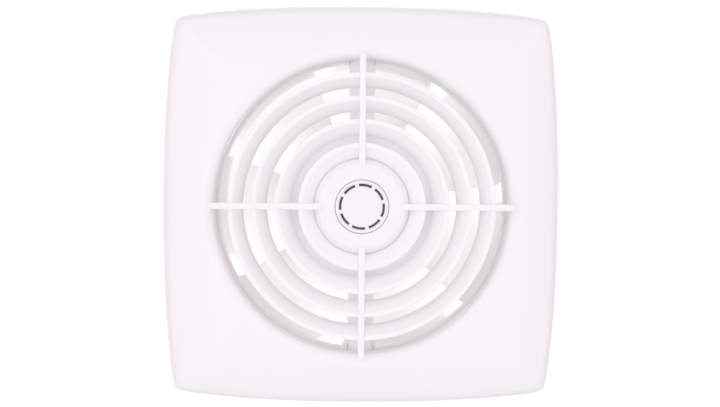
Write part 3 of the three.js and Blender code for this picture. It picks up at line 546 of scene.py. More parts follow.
def across_and_along(section, along):
    """Section (x, y) repeated at each height z, as a grid of points."""
    section, along = np.asarray(section, float), np.asarray(along, float)
    x, z = np.broadcast_arrays(section[None, :, 0], along[:, None])
    y = np.broadcast_to(section[None, :, 1], x.shape)
    return np.stack([x, y, z], axis=-1)


def carved(piece, cutters):
    """Cuts closed tools out of a closed piece and keeps the result as plain mesh."""
    for cutter in cutters:
        modifier = piece.modifiers.new("cut", "BOOLEAN")
        modifier.operation = "DIFFERENCE"
        modifier.solver = "EXACT"
        modifier.object = cutter
    graph = bpy.context.evaluated_depsgraph_get()
    result = bpy.data.meshes.new_from_object(piece.evaluated_get(graph))
    piece.modifiers.clear()
    piece.data = result
    for cutter in cutters:
        bpy.data.objects.remove(cutter)
    smooth(piece)
    return piece


def finish_piece(piece, material, body, slot, *nodes):
    """Material, body and the CAD nodes that this piece stands for; the slot argument is not used."""
    piece.data.materials.clear()
    piece.data.materials.append(material)
    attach(piece, body)
    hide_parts(*nodes)
    return piece


print("surface helpers ready")

# %% [markdown]
# ## The cover's outline
# The cover is a square whose four sides bow outward, so it looks softer than a plain square. A side is
# the curve x = half - b u^2 - c u^4, with u the distance along it; each direction meets that curve at
# one distance, found by repeating the sum until it settles. The corner is rounded by a smooth minimum
# of the two sides that meet there.

# %% Outline of the cover
SIDE_SPAN, SIDE_BOW, SIDE_CURL = 67.0, 2.82, 1.89
CORNER_SHARPNESS = 60.0
COVER_HALF = 67.0
BASE_HALF = 64.6


def side_distance(half, angle):
    distance = half / np.cos(angle)
    for _ in range(30):
        along = distance * np.sin(angle) / SIDE_SPAN
        distance = (half - SIDE_BOW * along ** 2 - SIDE_CURL * along ** 4) / np.cos(angle)
    return distance


def outline(half, angle):
    """Distance from the axis to the outline: the side's distance, softened close to the corner."""
    within = np.mod(angle, math.pi / 2)
    within = np.minimum(within, math.pi / 2 - within)
    side = side_distance(half, within)
    corner = side_distance(half, math.pi / 4)
    return side * (1.0 + (side / corner) ** (2 * CORNER_SHARPNESS)) ** (-1.0 / CORNER_SHARPNESS)


def outline_angles(steps=32, crowding=1.55):
    """Directions round the outline, closer together near the corners."""
    t = np.arange(steps) / steps
    rising = math.pi / 4 * (1.0 - (1.0 - t) ** crowding)
    falling = math.pi / 4 * (1.0 + t ** crowding)
    quarter = np.concatenate([rising, falling])
    return (quarter[None, :] + np.arange(4)[:, None] * math.pi / 2).ravel()


print("corner distance", round(float(outline(COVER_HALF, np.array(math.pi / 4))), 2))

# %% [markdown]
# ## Cover shell
# The face is a pillow: flat round the mouth and falling away towards the outline, so its slope lines
# follow the square and meet in soft diagonal ridges. It rolls over into the side wall, and inwards into
# the round mouth. Working out one section for all directions at once gives the whole shell, with its
# 2 mm wall, as one closed grid.

# %% Cover shell
FACE_FRONT, FACE_DROP, FACE_FLAT, FACE_CURVE = -22.6, 9.0, 0.55, 2.2
FACE_EDGE_INSET = 3.5
COVER_REAR, COVER_WALL = -0.8, 2.0
MOUTH_LIP, MOUTH_RADIUS, MOUTH_THROAT, MOUTH_REAR = 52.5, 48.9, 48.5, -14.0


def face_depth(distance, edge):
    share = np.maximum(0.0, (distance / edge - FACE_FLAT) / (1.0 - FACE_FLAT))
    return FACE_FRONT + FACE_DROP * share ** FACE_CURVE


def stations(angle, distance, y):
    """One (distance, y) point in each direction."""
    return np.stack(np.broadcast_arrays(distance + 0 * angle, y + 0 * angle), axis=-1)


def bent(a, b, c, steps):
    """The same curve for every station at once, from arrays of points (stations, 2)."""
    return quadratic(np.linspace(0.0, 1.0, steps)[None, :, None], a[:, None], b[:, None], c[:, None])


def cover_shell():
    """Section, from the rear of the side wall: side, roll-over, face, mouth, then back inside."""
    angle = outline_angles()
    pair = partial(stations, angle)
    rim = lambda inset: outline(COVER_HALF - inset, angle)
    edge = rim(FACE_EDGE_INSET)
    slope = FACE_DROP * FACE_CURVE / ((1.0 - FACE_FLAT) * edge)
    roll = bent(
        pair(rim(0.22), -8.4),
        pair(rim(0.45), face_depth(edge, edge) + slope * (rim(0.45) - edge)),
        pair(edge, face_depth(edge, edge)),
        12,
    )
    share = np.linspace(0.0, 1.0, 42)[None, 1:-1]
    distance = edge[:, None] + (MOUTH_LIP - edge[:, None]) * share
    face = np.stack([distance, face_depth(distance, edge[:, None])], axis=-1)
    lip = face_depth(MOUTH_LIP, edge)
    mouth_bend, mouth_edge = pair(MOUTH_RADIUS + 0.7, lip + 0.1), pair(MOUTH_RADIUS + 0.1, lip + 2.2)
    mouth = bent(pair(MOUTH_LIP, lip), mouth_bend, mouth_edge, 14)
    inner_edge = rim(FACE_EDGE_INSET + 1.6)
    back = inner_edge[:, None] + (MOUTH_LIP + 0.8 - inner_edge[:, None]) * np.linspace(1.0, 0.0, 16)[None, :]
    inside = np.stack([back, face_depth(back, edge[:, None]) + COVER_WALL], axis=-1)
    section = np.concatenate([
        pair(rim(0.35), COVER_REAR)[:, None],
        pair(rim(0.0), COVER_REAR - 0.35)[:, None],
        roll,
        face,
        mouth,
        pair(MOUTH_THROAT, MOUTH_REAR - 0.3)[:, None],
        pair(MOUTH_THROAT + 0.2, MOUTH_REAR)[:, None],
        pair(MOUTH_THROAT + 1.3, MOUTH_REAR)[:, None],
        pair(MOUTH_THROAT + 1.6, MOUTH_REAR - 0.3)[:, None],
        pair(MOUTH_RADIUS + 2.1, lip + 5.2)[:, None],
        inside,
        pair(rim(COVER_WALL + 0.4), -10.2)[:, None],
        pair(rim(COVER_WALL), COVER_REAR)[:, None],
    ], axis=1)
    points = polar(section[..., 0], angle[:, None], section[..., 1])
    return surface("cover_shell", points, wrap_rows=True)


finish_piece(cover_shell(), cover_white, "cover", "cover_plastic", "front_cover")

# %% [markdown]
# ## Louvre rings
# Four rings flare towards the front like the bell of a trumpet: air slips between them and the eye
# does not. The lip of each ring rolls over in a soft bead about two millimetres wide. One profile serves
# all four, stretched between each ring's root radius and lip radius.

# %% Louvre rings
RING_LIPS = (21.1, 28.9, 36.5, 44.2)
RING_ROOTS = (16.9, 24.4, 32.4, 40.3)
RING_FRONT, RING_REAR, RING_WALL = -22.95, -17.0, 1.05


def louvre_ring(number, lip, root):
    """Bell curve r = root + (lip - root) s^1.5, y falling evenly; the wall is offset inwards."""
    s = np.linspace(0.0, 1.0, 16)
    spread = lip - 1.0 - root
    outer = np.stack([root + spread * s ** 1.5, RING_REAR + (RING_FRONT + 1.15 - RING_REAR) * s], axis=-1)
    inner = np.stack([outer[:, 0] - RING_WALL, outer[:, 1] - 0.35 * s], axis=-1)[::-1]
    bead = rounded(
        [outer[-1], (lip, RING_FRONT + 0.55), (lip - 0.3, RING_FRONT), (lip - 1.5, RING_FRONT), inner[0]],
        [0.0, 0.5, 0.5, 0.9, 0.0], 6, closed=False,
    )
    foot = [inner[-1], (root - RING_WALL, RING_REAR), (root, RING_REAR), outer[0]]
    tail = rounded(foot, 0.25, 4, closed=False)
    profile = np.concatenate([outer[1:-1], bead, inner[1:-1], tail])
    return turned(f"louvre_ring_{number}", profile, 192)


for number, (lip, root) in enumerate(zip(RING_LIPS, RING_ROOTS), 1):
    finish_piece(louvre_ring(number, lip, root), cover_white, "cover", "cover_plastic", "front_cover")
print("rings:", RING_LIPS)

# %% [markdown]
# ## Arms and hub
# Four thin arms tie the rings to the shell. They are deeper than wide, lose a little width towards the
# back so that the mould lets go, and end square and proud on the face. The hub is turned: a flat ring
# round the cap's pocket, a steep shoulder, and the floor that the screw head pulls on.

# %% Arms
ARM_WIDTH, ARM_FRONT, ARM_REAR, ARM_START, ARM_END = 2.1, -23.05, -16.5, 12.2, 50.4


def grille_arm(number, degrees):
    """Rounded bar section carried along the radius."""
    half, taper = ARM_WIDTH / 2, 0.18
    corners = [
        (-half, ARM_FRONT),
        (half, ARM_FRONT),
        (half - taper, ARM_REAR),
        (-half + taper, ARM_REAR),
    ]
    section = rounded(corners, [0.35, 0.35, 0.2, 0.2], 5)
    stations = np.array([ARM_START, 13.1, 13.7, 14.4, ARM_END - 0.25, ARM_END])
    width = np.array([1.0, 1.0, 1.0, 1.0, 1.0, 0.8])
    height = np.array([0.9, 0.965, 0.99, 1.0, 1.0, 0.97])
    foot = np.array([0.0, ARM_REAR])
    across = foot + (section[None] - foot) * np.stack([width, height], axis=-1)[:, None]
    points = np.stack([
        np.broadcast_to(stations[:, None], across.shape[:2]),
        across[..., 1],
        across[..., 0],
    ], axis=-1)
    return lofted(f"grille_arm_{number}", spun(points, degrees))


for number in range(4):
    finish_piece(grille_arm(number + 1, 90.0 * number), cover_white, "cover", "cover_plastic", "front_cover")


# %% Hub
HUB_FLOOR_FRONT, HUB_FLOOR_REAR = -18.4, -16.7


def cover_hub():
    """Profile: screw floor, pocket wall, flat front ring, shoulder, hollow behind."""
    corners = [
        (1.6, HUB_FLOOR_FRONT), (9.0, HUB_FLOOR_FRONT), (9.0, -22.95),
        (12.95, -23.0), (13.9, -22.4), (15.8, -17.6), (15.9, HUB_FLOOR_REAR),
        (14.6, HUB_FLOOR_REAR), (12.2, -21.6), (10.4, -21.6),
        (10.4, HUB_FLOOR_REAR), (1.6, HUB_FLOOR_REAR),
    ]
    radii = [0.2, 0.2, 0.25, 0.9, 0.8, 0.8, 0.3, 0.3, 0.4, 0.4, 0.3, 0.2]
    return turned("cover_hub", rounded(corners, radii, 7), 144)


finish_piece(cover_hub(), cover_white, "cover", "cover_plastic", "front_cover")
print("arms and hub made")

# %% [markdown]
# ## Cap, seal and screw
# The cap clips into the hub over the screw. Its eight arc slots are its only dark detail. The cap is a
# polar grid whose cells inside the slots are left out; Solidify then gives the sheet its wall, and the
# slots their sides.

# %% Centre cap
CAP_RADIUS, CAP_FRONT, CAP_REAR, CAP_WALL = 8.75, -23.3, -18.9, 0.95
CAP_SLOT_INNER, CAP_SLOT_OUTER = 6.70, 7.62
CAP_SLOTS, CAP_BRIDGE_START, CAP_BRIDGE_ANGLE = 8, 13.5, 9.0


def centre_cap():
    """Dome, slotted band, rim groove and skirt as rows of one polar grid."""
    dome = np.linspace(0.0, CAP_SLOT_INNER - 0.25, 14)
    dome_rows = np.stack([dome, CAP_FRONT + 0.62 * (dome / CAP_SLOT_INNER) ** 2.4], axis=-1)
    rows = np.concatenate([
        dome_rows,
        [(CAP_SLOT_INNER - 0.08, -22.6), (CAP_SLOT_INNER, -22.45), (CAP_SLOT_OUTER, -22.2)],
        [(7.78, -22.28), (8.2, -22.68), (8.45, -22.76), (8.62, -22.7), (8.74, -22.5), (CAP_RADIUS, -22.2)],
        np.stack([np.full(6, CAP_RADIUS), np.linspace(-21.8, CAP_REAR, 6)], axis=-1),
    ])
    segments = 240
    angle = circle(segments)
    points = polar(rows[:, None, 0], angle[None, :], rows[:, None, 1])
    slot_row = int(np.flatnonzero(rows[:, 0] == CAP_SLOT_INNER)[0])
    pitch = 360.0 / CAP_SLOTS
    middle = np.degrees(angle + math.pi / segments) - CAP_BRIDGE_START + CAP_BRIDGE_ANGLE / 2
    keep = np.ones((len(rows) - 1, segments), bool)
    keep[slot_row] = np.mod(middle, pitch) < CAP_BRIDGE_ANGLE
    piece = surface("centre_cap_shell", points, wrap_rows=False, keep=keep)
    wall = piece.modifiers.new("wall", "SOLIDIFY")
    wall.thickness = CAP_WALL * MM
    wall.offset = -1.0
    return piece


finish_piece(centre_cap(), cap_white, "cap", "cover_plastic", "centre_cap")


def cap_seal():
    """Flat rubber ring with rounded edges behind the cap's slots."""
    corners = [(5.4, -21.3), (7.5, -21.3), (7.5, -19.8), (5.4, -19.8)]
    return turned("cap_seal_ring", rounded(corners, 0.35, 5), 96)


finish_piece(cap_seal(), black_rubber, "cap", "black_rubber", "cap_seal")
print("cap and seal made")

# %% [markdown]
# ## Screws
# A pan head is a low dome with a cross recess. As the head is one sheet of points over (radius, angle),
# the recess is only a sum: inside the cross the sheet drops, with a short slope at its sides. Threads
# are rings on the shank.


# %% Pan-head screws
COVER_SCREW = {"head_radius": 3.0, "head_height": 1.9, "shank_radius": 1.2, "tip": -11.6}
HOLDER_SCREW = {"head_radius": 2.6, "head_height": 1.7, "shank_radius": 1.2, "tip": -2.2}
CLAMP_SCREW = {"head_radius": 2.0, "head_height": 1.5, "shank_radius": 1.2, "tip": -1.6}
THREAD_PITCH = 0.8


def pan_screw(name, seat, at=(0.0, 0.0), turn=20.0, *, head_radius, head_height, shank_radius, tip):
    """Head sheet with a cross recess, then the rim, the seat and a ridged shank to a blunt tip."""
    angle = circle(96)
    radius = np.concatenate([[0.0], np.linspace(0.12, 0.97, 30)]) * head_radius
    dome = -head_height + head_height * 0.5 * (radius / head_radius) ** 3.2
    x = radius[:, None] * np.cos(angle + math.radians(turn))
    z = radius[:, None] * np.sin(angle + math.radians(turn))
    arm, reach = head_radius * 0.13, head_radius * 0.55

    def inside(along, across):
        lengthwise = np.clip((reach - np.abs(along)) / (0.12 * head_radius), 0, 1)
        return lengthwise * np.clip((arm - np.abs(across)) / (0.08 * head_radius) + 0.5, 0, 1)

    recess = np.maximum(inside(x, z), inside(z, x)) * head_height * 0.62
    head = polar(radius[:, None], angle[None, :], dome[:, None] + recess)
    length = tip - seat
    thread = np.linspace(0.0, length - shank_radius, 40)
    ridge = shank_radius * (0.93 + 0.07 * np.sin(thread * 2.0 * math.pi / THREAD_PITCH))
    rest = np.concatenate([
        [(head_radius, -head_height * 0.3), (head_radius, -0.08)],
        [(head_radius - 0.1, 0.0), (shank_radius, 0.0)],
        np.stack([ridge, thread], axis=-1),
        [(shank_radius * 0.35, length), (0.0, length)],
    ])
    body = polar(rest[:, None, 0], angle[None, :], rest[:, None, 1])
    points = np.concatenate([head, body])
    points[..., 1] += seat
    return placed(surface(name, points), at)


HOLDER_SCREW_AT = 56.0
FOOT_FRONT, FOOT_REAR, FOOT_START, FOOT_END = -8.8, -7.0, 43.0, 58.6
CLAMP_AT, CLAMP_TURN, CLAMP_SCREW_OFFSET = (-52.0, 31.0), 18.1, 6.7
CLAMP_SEAT, CLAMP_FRONT = -4.6, -6.6
clamp_way = np.array([math.cos(math.radians(CLAMP_TURN)), -math.sin(math.radians(CLAMP_TURN))])
clamp_places = [np.array(CLAMP_AT) + clamp_way * side * CLAMP_SCREW_OFFSET for side in (-1, 1)]

screws = [("cover_screw", "cover", pan_screw("cover_screw_turned", HUB_FLOOR_FRONT, **COVER_SCREW))]
for place, z, turn in (("top", HOLDER_SCREW_AT, 20.0), ("bottom", -HOLDER_SCREW_AT, 65.0)):
    screw = pan_screw(f"holder_screw_{place}_turned", FOOT_FRONT, (0.0, z), turn, **HOLDER_SCREW)
    screws.append((f"holder_screw_{place}", "housing", screw))
for number, at in enumerate(clamp_places, 1):
    name = f"cord_clamp_screw_{number}"
    screw = pan_screw(f"{name}_turned", CLAMP_FRONT, at, 33.0 * number, **CLAMP_SCREW)
    screws.append((name, "housing", screw))
for node, body, piece in screws:
    finish_piece(piece, plated_steel, body, "plated_steel", node)
print("screws:", len(screws))

# %% [markdown]
# ## Mounting base
# The base screws to the wall and carries everything else: a tray with a low rim that the cover slides
# over, the collar that rises towards the grille, and the spigot that slips into the duct. It is lofted
# in one section like the cover; slots, cable hole and notches are then cut with closed tools.

# %% Cutting tools
PLATE_FRONT, RIM_FRONT, RIM_WALL = -2.4, -8.0, 1.6
DUCT_BORE, DUCT_OUTER, COLLAR_FRONT, SPIGOT_REAR = 47.3, 49.0, -12.6, 54.0
WALL_SCREW_AT, SLOT_RADIUS, SLOT_REACH = 54.5, 2.25, 1.3
CABLE_ENTRY, CABLE_ENTRY_RADIUS = (-54.0, 19.7), 4.5
STRUT_HALF = 4.2
PILOT_RADIUS = 1.35


def prism(name, outline_points, front, back):
    """Closed outline (x, z) carried from front to back along Y."""
    points = across_and_along(outline_points, (front, back))
    return lofted(name, points[..., [0, 2, 1]])


def rod(name, radius, front, back, at, segments=40):
    angle = circle(segments)
    x, z = at[0] + radius * np.cos(angle), at[1] + radius * np.sin(angle)
    return prism(name, np.stack([x, z], axis=-1), front, back)


def block(name, x, y, z):
    return prism(name, [(x[0], z[0]), (x[1], z[0]), (x[1], z[1]), (x[0], z[1])], *y)


def slot_tool(sign_x, sign_z):
    """Round-ended slot: a circle whose halves are moved apart along X."""
    angle = circle(48)
    x = sign_x * WALL_SCREW_AT + SLOT_RADIUS * np.cos(angle) + SLOT_REACH * np.sign(np.cos(angle))
    z = sign_z * WALL_SCREW_AT + SLOT_RADIUS * np.sin(angle)
    return prism("slot_tool", np.stack([x, z], axis=-1), -4.0, 1.0)


# %% Mounting base
def base_tray():
    """Section: rear edge, rim, plate, collar, duct bore, spigot, carried round the outline."""
    angle = outline_angles(28)
    pair = partial(stations, angle)
    rim = lambda inset: outline(BASE_HALF - inset, angle)
    corners = np.stack([
        pair(rim(0.0), 0.0),
        pair(rim(0.0), RIM_FRONT),
        pair(rim(RIM_WALL), RIM_FRONT),
        pair(rim(RIM_WALL), PLATE_FRONT),
        pair(DUCT_OUTER, PLATE_FRONT),
        pair(DUCT_OUTER, COLLAR_FRONT),
        pair(DUCT_BORE, COLLAR_FRONT),
        pair(DUCT_BORE, SPIGOT_REAR),
        pair(DUCT_OUTER, SPIGOT_REAR),
        pair(DUCT_OUTER, 0.0),
    ], axis=1)
    radii = [0.4, 0.5, 0.4, 0.5, 0.5, 0.5, 0.5, 0.4, 1.2, 0.3]
    section = rounded(corners, radii, 5)
    points = polar(section[..., 0], angle[:, None], section[..., 1])
    tray = surface("base_tray", points, wrap_rows=True)
    tools = [slot_tool(x, z) for x in (1, -1) for z in (1, -1)]
    tools.append(rod("entry_tool", CABLE_ENTRY_RADIUS, -4.0, 1.0, CABLE_ENTRY, 64))
    notch = STRUT_HALF + 0.25
    for side in ((40.0, 52.0), (-52.0, -40.0)):
        tools.append(block("notch_tool", (-notch, notch), (-14.0, FOOT_REAR + 0.2), side))
    return carved(tray, tools)


def base_post(name, radius, front, at):
    """Short round post with a screw hole, standing on the plate."""
    root = PLATE_FRONT + 0.2
    corners = [(PILOT_RADIUS, front), (radius, front), (radius + 0.3, root), (PILOT_RADIUS, root)]
    post = turned(name, rounded(corners, [0.2, 0.35, 0.1, 0.1], 4), 40)
    return placed(post, at)


finish_piece(base_tray(), body_white, "housing", "body_plastic", "mounting_base")
for name, z in (("top", HOLDER_SCREW_AT), ("bottom", -HOLDER_SCREW_AT)):
    post = base_post(f"holder_post_{name}", 3.0, FOOT_REAR, (0.0, z))
    finish_piece(post, body_white, "housing", "body_plastic", "mounting_base")
for number, place in enumerate(clamp_places, 1):
    post = base_post(f"clamp_post_{number}", 2.4, CLAMP_SEAT, place)
    finish_piece(post, body_white, "housing", "body_plastic", "mounting_base")
print("mounting base made")

# %% [markdown]
# ## Motor holder
# A round cup hides the motor, and two struts hold it in the middle of the duct. Cup and lid are turned.
# A strut is an arch in section, hollow behind so that the motor leads can run in it, and it ends in a
# flat foot with a screw.

# %% Motor holder
CUP_RADIUS, CUP_INNER, CUP_FRONT, CUP_FLOOR, CUP_REAR, LID_REAR = 27.5, 25.9, -14.0, -12.4, 20.3, 22.3
BOSS_FRONT, BOSS_REAR = -16.4, -11.2
STRUT_FRONT, STRUT_REAR, STRUT_WALL = -13.4, -8.4, 1.4


def motor_cup():
    """Profile: screw boss, front, outer wall, open rear, inner wall, floor, back of the boss."""
    corners = [
        (PILOT_RADIUS, BOSS_FRONT), (4.2, BOSS_FRONT), (4.2, CUP_FRONT),
        (CUP_RADIUS, CUP_FRONT), (CUP_RADIUS, CUP_REAR), (CUP_INNER, CUP_REAR), (CUP_INNER, CUP_FLOOR),
        (3.2, CUP_FLOOR), (3.2, BOSS_REAR), (PILOT_RADIUS, BOSS_REAR),
    ]
    radii = [0.2, 0.3, 0.6, 2.4, 0.3, 0.3, 0.8, 0.4, 0.3, 0.2]
    cup = turned("motor_cup", rounded(corners, radii, 7), 144)
    return carved(cup, [block("lead_slot_tool", (-2.3, 2.3), (-12.0, -8.9), (24.5, 29.0))])


def strut(name, degrees):
    """Arch-shaped channel, open at the back: crown y = front + 1.4 |t|^2.6, carried from cup to collar."""
    t = np.linspace(-1.0, 1.0, 17)
    hollow = STRUT_HALF - STRUT_WALL
    outside = np.stack([t * STRUT_HALF, STRUT_FRONT + 1.4 * np.abs(t) ** 2.6], axis=-1)
    inside = np.stack([t * hollow, STRUT_FRONT + 1.5 + 0.6 * np.abs(t) ** 2.6], axis=-1)
    outside = np.concatenate([[(-STRUT_HALF, STRUT_REAR)], outside, [(STRUT_HALF, STRUT_REAR)]])
    inside = np.concatenate([[(-hollow, STRUT_REAR)], inside, [(hollow, STRUT_REAR)]])
    points = across_and_along(np.concatenate([outside, inside[::-1]]), (26.4, 49.2))
    return placed(closed_strip(name, points), degrees=degrees)


def strut_foot(name, degrees):
    """Flat tongue with rounded corners and a screw hole."""
    corners = [(side * STRUT_HALF, z) for z, side in
               ((FOOT_START, -1), (FOOT_START, 1), (FOOT_END, 1), (FOOT_END, -1))]
    foot = prism(name, rounded(corners, [0.3, 0.3, 2.2, 2.2], 6), FOOT_FRONT, FOOT_REAR)
    hole = rod("foot_hole_tool", 1.5, FOOT_FRONT - 1, FOOT_REAR + 1, (0.0, HOLDER_SCREW_AT), 32)
    return placed(carved(foot, [hole]), degrees=degrees)


def motor_lid():
    """Flat disc with a hole for the shaft and a rounded rear edge."""
    corners = [(5.0, CUP_REAR), (27.4, CUP_REAR), (27.4, LID_REAR), (5.0, LID_REAR)]
    return turned("motor_lid", rounded(corners, [0.2, 0.2, 1.0, 0.4], 6), 144)


holder_pieces = [motor_cup()]
for place, degrees in (("top", 0.0), ("bottom", 180.0)):
    holder_pieces.append(strut(f"strut_{place}", degrees))
    holder_pieces.append(strut_foot(f"strut_foot_{place}", degrees))
for piece in holder_pieces:
    finish_piece(piece, holder_white, "housing", "body_plastic", "motor_holder")
finish_piece(motor_lid(), holder_white, "housing", "body_plastic", "motor_holder_lid")
print("motor holder pieces:", [piece.name for piece in holder_pieces])

# %% [markdown]
# ## Impeller
# Seven twisted blades grow from a hollow hub. A blade is a function of two parameters, outward from the
# hub and back along the chord; its angle grows evenly with the chord, which is what makes it a screw
# surface, and its thickness follows half a sine. Front and back sides are the same formula with the
# offset reversed, so one closed grid holds both.

# %% Impeller
BLADES, BLADE_START, BLADE_SWEEP = 7, 7.0, 43.4
BLADE_TIP, BLADE_THICKNESS, HUB_RADIUS = 46.2, 1.5, 25.4
IMPELLER_FRONT, IMPELLER_REAR = 24.0, 44.0
SHAFT_HOLE, SLEEVE_RADIUS = 2.1, 4.9


def impeller_blade(number):
    """Side points: angle = start + sweep t - offset, y = front to back + bow + offset."""
    u = np.linspace(0.0, 1.0, 22)[:, None, None]
    t = np.linspace(0.0, 1.0, 36)[None, :, None]
    sign = np.array([1.0, -1.0])[None, None, :]
    radius = (HUB_RADIUS - 0.7) + (BLADE_TIP - HUB_RADIUS + 0.7) * u
    front, back = 25.2 + 2.8 * u, 43.6 - 3.2 * u
    sweep = math.radians(BLADE_SWEEP)
    chord = np.hypot(radius * sweep, back - front)
    half = sign * BLADE_THICKNESS / 2 * (0.32 + 0.68 * np.sin(math.pi * t) ** 0.8)
    start = math.radians(BLADE_START + 360.0 / BLADES * number)
    angle = start + sweep * t - half * (back - front) / (chord * radius)
    y = front + (back - front) * t + 1.4 * np.sin(math.pi * t) + half * radius * sweep / chord
    points = polar(radius, angle, y)
    loop = np.concatenate([points[:, :, 0], points[:, ::-1, 1]], axis=1)
    return closed_strip(f"impeller_blade_{number + 1}", loop)


def impeller_hub():
    """Profile of a bowl, open at the rear, with the shaft's sleeve in its middle."""
    inner, floor, sleeve_end = HUB_RADIUS - 1.4, IMPELLER_FRONT + 1.6, IMPELLER_REAR - 2.0
    corners = [
        (SHAFT_HOLE, IMPELLER_FRONT), (HUB_RADIUS, IMPELLER_FRONT), (HUB_RADIUS, IMPELLER_REAR),
        (inner, IMPELLER_REAR), (inner, floor), (SLEEVE_RADIUS, floor),
        (SLEEVE_RADIUS, sleeve_end), (SHAFT_HOLE, sleeve_end),
    ]
    radii = [0.3, 2.2, 0.4, 0.4, 1.4, 0.8, 0.3, 0.3]
    return turned("impeller_hub", rounded(corners, radii, 7), 144)


def impeller_rib(number):
    """Thin wall from the shaft sleeve to the hub, slightly thinner at its free edge."""
    front, rear = IMPELLER_FRONT + 1.0, 36.0
    section = rounded([(-0.65, front), (0.65, front), (0.45, rear), (-0.45, rear)], [0.1, 0.1, 0.3, 0.3], 4)
    points = across_and_along(section, (4.5, HUB_RADIUS - 0.8))
    rib = lofted(f"impeller_rib_{number + 1}", points[..., [2, 1, 0]])
    return placed(rib, degrees=BLADE_START + 360.0 / BLADES * number)


for number in range(BLADES):
    for piece in (impeller_blade(number), impeller_rib(number)):
        finish_piece(piece, impeller_white, "rotor", "impeller_plastic", "impeller")
finish_piece(impeller_hub(), impeller_white, "rotor", "impeller_plastic", "impeller")


def impeller_clip():
    """Spring ring of round wire section, two turns side by side."""
    corners = [(5.05, 38.0), (6.0, 38.0), (6.0, 39.1), (5.75, 39.25), (6.0, 39.4), (6.0, 40.5), (5.05, 40.5)]
    return turned("impeller_clip_ring", rounded(corners, 0.3, 4), 72)


finish_piece(impeller_clip(), plated_steel, "rotor", "plated_steel", "impeller_clip")
print("impeller made with", BLADES, "blades")

# %% [markdown]
# ## Wiring
# The mains cord would come through the grommet, under the clamp and into the terminal block. From there
# two insulated leads run round the collar and down the upper strut to the motor. A lead is a circle
# carried along a smooth line through its route's points.

# %% Tubes
TERMINAL_RADIUS, TERMINAL_ANGLE, TERMINAL_SPACING = 60.95, 135.0, 3.5


def smooth_line(points, per_span=14):
    """Line through the points: cubic spans whose end slopes join each point's two neighbours."""
    points = np.asarray(points, float)
    padded = np.concatenate([2 * points[:1] - points[1:2], points, 2 * points[-1:] - points[-2:-1]])
    t = np.linspace(0.0, 1.0, per_span, endpoint=False)[None, :, None]
    a, b, c, d = (padded[i:len(padded) - 3 + i, None] for i in range(4))
    square, cube = 2 * a - 5 * b + 4 * c - d, 3 * b - a - 3 * c + d
    line = 0.5 * (2 * b + (c - a) * t + square * t ** 2 + cube * t ** 3)
    return np.concatenate([line.reshape(-1, 3), points[-1:]])


def tube(name, route, radius, sides=20):
    """Circle carried along the line, in the plane across it."""
    line = smooth_line(route)
    along = np.gradient(line, axis=0)
    along /= np.linalg.norm(along, axis=1, keepdims=True)
    first = np.cross(along, (0.31, 0.89, 0.33))
    first /= np.linalg.norm(first, axis=1, keepdims=True)
    second = np.cross(along, first)
    angle = circle(sides)[None, :, None]
    points = line[:, None] + radius * (np.cos(angle) * first[:, None] + np.sin(angle) * second[:, None])
    return lofted(name, points)


def motor_lead(name, terminal_offset, collar_radius, channel):
    """Route: terminal, collar, strut channel, top coil."""
    at = lambda radius, degrees, y: polar(radius, math.radians(degrees), y)
    near, far = TERMINAL_RADIUS - 2.6, TERMINAL_RADIUS - 5.6
    first = TERMINAL_ANGLE + math.degrees(terminal_offset / collar_radius)
    route = [
        at(near, TERMINAL_ANGLE + math.degrees(terminal_offset / near), -7.15),
        at(far, TERMINAL_ANGLE + math.degrees(terminal_offset / far), -7.2),
        *[at(collar_radius, degrees, -10.4) for degrees in (first - 7, first - 17, 110, 100)],
        (channel - 3.4, -10.4, collar_radius - 0.35),
        (channel - 0.5, -10.4, collar_radius - 1.3),
        (channel, -10.4, 47.6),
        (channel, -10.4, 40.0),
        (channel, -10.4, 30.0),
        (channel, -10.4, 21.0),
        (channel, -9.3, 17.6),
        (channel, -6.6, 16.4),
    ]
    return tube(name, route, 0.8)


finish_piece(motor_lead("lead_live", -TERMINAL_SPACING, 53.0, 1.15), brown_pvc, "housing", "brown_pvc",
             "motor_lead_live")
finish_piece(motor_lead("lead_neutral", TERMINAL_SPACING, 50.7, -1.15), blue_pvc, "housing", "blue_pvc",
             "motor_lead_neutral")
print("leads made")


# %% Terminal block, clamp and grommet
def terminal_block():
    """Block with a well and a wire hole for each pole, and a groove between the poles."""
    near, far = TERMINAL_RADIUS - 5.0, TERMINAL_RADIUS + 5.0
    body = block("terminal_housing", (near, far), (-11.4, PLATE_FRONT), (-8.0, 8.0))
    tools = []
    for offset in (-TERMINAL_SPACING, TERMINAL_SPACING):
        tools.append(rod("well_tool", 2.4, -13.0, -5.4, (TERMINAL_RADIUS, offset), 48))
        tools.append(rod_across(near - 1, far + 1, -7.15, offset, 1.25))
    tools.append(block("groove_tool", (near - 1, far + 1), (-12.0, -10.6), (-0.5, 0.5)))
    return bevelled(placed(carved(body, tools), degrees=TERMINAL_ANGLE), 0.25)


def rod_across(x0, x1, y, z, radius):
    """Round tool lying along X."""
    angle = circle(32)
    section = np.stack([z + radius * np.sin(angle), y + radius * np.cos(angle)], axis=-1)
    points = across_and_along(section, (x0, x1))
    return lofted("across_tool", points[..., [2, 1, 0]])


